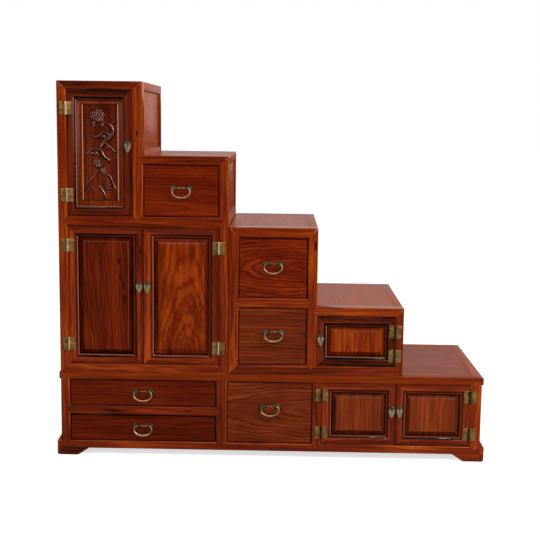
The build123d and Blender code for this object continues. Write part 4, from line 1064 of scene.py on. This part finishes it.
def addBead(name, door, edges, back, radius, tones):
    # a thin rounded bead along a rectangle in a door's plane, with a tone for its foot, right, top and left,
    # the painted highlight and shade of each side
    bm = bmesh.new()
    addGrainLayers(bm)
    x0, x1, z0, z1 = edges
    corner = [Vector((x, 0, z)) * mm for x, z in ((x0, z0), (x1, z0), (x1, z1), (x0, z1))]
    for number, tone in enumerate(tones):
        before = len(bm.verts)
        ends = [corner[number], corner[(number + 1) % 4]]
        addRod(bm, ends, [radius * mm] * 2, at(0, woodFace + back * mm, 0), sides=2)
        toneLayer = bm.verts.layers.float["tone"]
        bm.verts.ensure_lookup_table()
        for vert in bm.verts[before:]:
            vert[toneLayer] = tone
    finishPiece(bm, f"{door}_{name}", [woods["beadHighlightWood"]], door, [], 60)


carve()
# beads: how far in from the door's edge and back from its face, in millimetres, and a tone for each side that
# paints its highlight and shade
beads = {
    "carved": {"back": field["margin"] + 0.1, "radius": 1.7, "tones": (-3.0, 1.6, -3.4, 1.6)},
    "lip": {"inset": 32.3, "back": 3.9, "radius": 1.3, "tones": (0.5, -2.0, -2.6, 1.0),
            "baseTones": (-0.2, -2.2, -2.8, 0.4)},
    "field": {"inset": 52.0, "back": 4.7, "radius": 1.0, "tones": (-1.2, 0.2, -1.0, -1.6)},
}
carved = beads["carved"]
addBead("field_bead", "carved_door", [field[key] for key in ("left", "right", "foot", "top")], carved["back"],
        carved["radius"], carved["tones"])
# a bead ends each door's moulding, and a finer one the raised fields of the plain panels
for door in doorPanels:
    low, high = [[value / mm for value in corner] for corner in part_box(f"{door}_frame")]
    for name in ("lip",) if door == "carved_door" else ("lip", "field"):
        bead = beads[name]
        inset = bead["inset"]
        edges = (low[0] + inset, high[0] - inset, low[2] + inset, high[2] - inset)
        tones = bead["baseTones"] if name == "lip" and "base" in door else bead["tones"]
        addBead(f"{name}_bead", door, edges, bead["back"], bead["radius"], tones)
print("door carved, panels beaded")


# floor, light and camera

floor = {"size": 30.0, "pale": 0.8, "mirrored": 0.08, "veil": 0.66}


def makeFloor():
    # pale, veiled with white for the camera, and dim where the polish mirrors it
    mat, tree = newMaterial("paleFloor")
    path = addNode(tree, "ShaderNodeLightPath")
    plain = addNode(tree, "ShaderNodeBsdfDiffuse", {"Color": grey(floor["pale"])})
    dim = addNode(tree, "ShaderNodeBsdfDiffuse", {"Color": grey(floor["mirrored"])})
    veil = addNode(tree, "ShaderNodeEmission", {"Color": grey(1.0), "Strength": floor["veil"]})
    seen = addNode(tree, "ShaderNodeAddShader", {0: plain.outputs[0], 1: veil.outputs[0]})
    around = addNode(tree, "ShaderNodeMixShader", {0: path.outputs["Is Glossy Ray"], 1: plain.outputs[0],
                                                   2: dim.outputs[0]})
    mixed = addNode(tree, "ShaderNodeMixShader", {0: path.outputs["Is Camera Ray"], 1: around.outputs[0],
                                                  2: seen.outputs[0]})
    addNode(tree, "ShaderNodeOutputMaterial", {"Surface": mixed.outputs[0]})
    return mat


floorBm = bmesh.new()
bmesh.ops.create_grid(floorBm, x_segments=1, y_segments=1, size=floor["size"])
finishMesh(floorBm, "floor", [makeFloor()])

# what the polish mirrors: a window to the right and a bright ceiling draw lights along the mouldings, and the
# room is dim before the chest and brighter behind it; each light rises between two places on its axis
roomLights = {
    "window": {"axis": 0, "rises": (0.45, 0.8), "levels": (0.0, 2.6)},
    "ceiling": {"axis": 2, "rises": (0.55, 0.9), "levels": (0.0, 0.9)},
    "room": {"axis": 1, "rises": (-0.85, -0.1), "levels": (0.035, 0.6)},
}
daylight = {"level": 0.45, "glossyTint": (1.0, 0.95, 0.92, 1.0)}


def makeWorld():
    world = bpy.data.worlds.new("studio")
    world.use_nodes = True
    tree = world.node_tree
    tree.nodes.clear()
    way = addNode(tree, "ShaderNodeTexCoord").outputs["Generated"]
    way = addNode(tree, "ShaderNodeSeparateXYZ", {0: way}).outputs
    room = 0.0
    for light in roomLights.values():
        span = {"Value": way[light["axis"]]}
        span["From Min"], span["From Max"] = light["rises"]
        span["To Min"], span["To Max"] = light["levels"]
        light = addNode(tree, "ShaderNodeMapRange", span, interpolation_type="SMOOTHSTEP")
        room = maths(tree, "ADD", room, light.outputs[0])
    path = addNode(tree, "ShaderNodeLightPath").outputs
    level = addNode(tree, "ShaderNodeMix", {0: path["Is Glossy Ray"], 2: daylight["level"], 3: room},
                    data_type="FLOAT")
    tint = addNode(tree, "ShaderNodeMix", {0: path["Is Glossy Ray"], 6: grey(1.0), 7: daylight["glossyTint"]},
                   data_type="RGBA")
    soft = addNode(tree, "ShaderNodeBackground", {"Color": tint.outputs[2], "Strength": level.outputs[0]})
    white = addNode(tree, "ShaderNodeBackground", {"Color": grey(1.0), "Strength": 1.0})
    shown = maths(tree, "MAXIMUM", path["Is Camera Ray"], path["Is Transmission Ray"])
    mixed = addNode(tree, "ShaderNodeMixShader", {0: shown, 1: soft.outputs[0], 2: white.outputs[0]})
    addNode(tree, "ShaderNodeOutputWorld", {"Surface": mixed.outputs[0]})
    return world


bpy.context.scene.world = makeWorld()

lamps = {
    "keyLamp": {"at": (2.8, -1.9, 3.2), "aim": (0.0, 0.0, 0.6), "size": 1.2, "power": 150.0},
    "fillLamp": {"at": (-2.8, -2.4, 2.2), "aim": (0.0, 0.0, 0.6), "size": 0.8, "power": 30.0},
}
for name, lamp in lamps.items():
    data = bpy.data.lights.new(name, "AREA")
    data.shape, data.size, data.energy = "SQUARE", lamp["size"], lamp["power"]
    made = bpy.data.objects.new(name, data)
    made.location = lamp["at"]
    made.rotation_euler = (Vector(lamp["aim"]) - Vector(lamp["at"])).to_track_quat("-Z", "Y").to_euler()
    bpy.context.collection.objects.link(made)

# the camera stands before the chest's middle, below its top step, and looks slightly down; its focal length
# and the height of its axis over the picture's middle are in units of which the picture's side has 540
view = {"at": (0.0296, -3.1488, 1.2025), "down": 0.1176, "turn": 0.0136, "roll": 0.0127, "side": 540,
        "focal": 853.64, "axisAbove": 50, "sensor": 36.0}
cameraData = bpy.data.cameras.new("camera")
cameraData.sensor_width = view["sensor"]
cameraData.lens = view["sensor"] * view["focal"] / view["side"]
cameraData.shift_y = -view["axisAbove"] / view["side"]
camera = bpy.data.objects.new("camera", cameraData)
turn = Matrix.Rotation(view["turn"], 4, "Z") @ Matrix.Rotation(math.pi / 2 - view["down"], 4, "X")
camera.matrix_world = Matrix.Translation(view["at"]) @ turn @ Matrix.Rotation(view["roll"], 4, "Z")
bpy.context.collection.objects.link(camera)
bpy.context.scene.camera = camera
bpy.context.scene.view_settings.view_transform = "Standard"

print("scene ready")
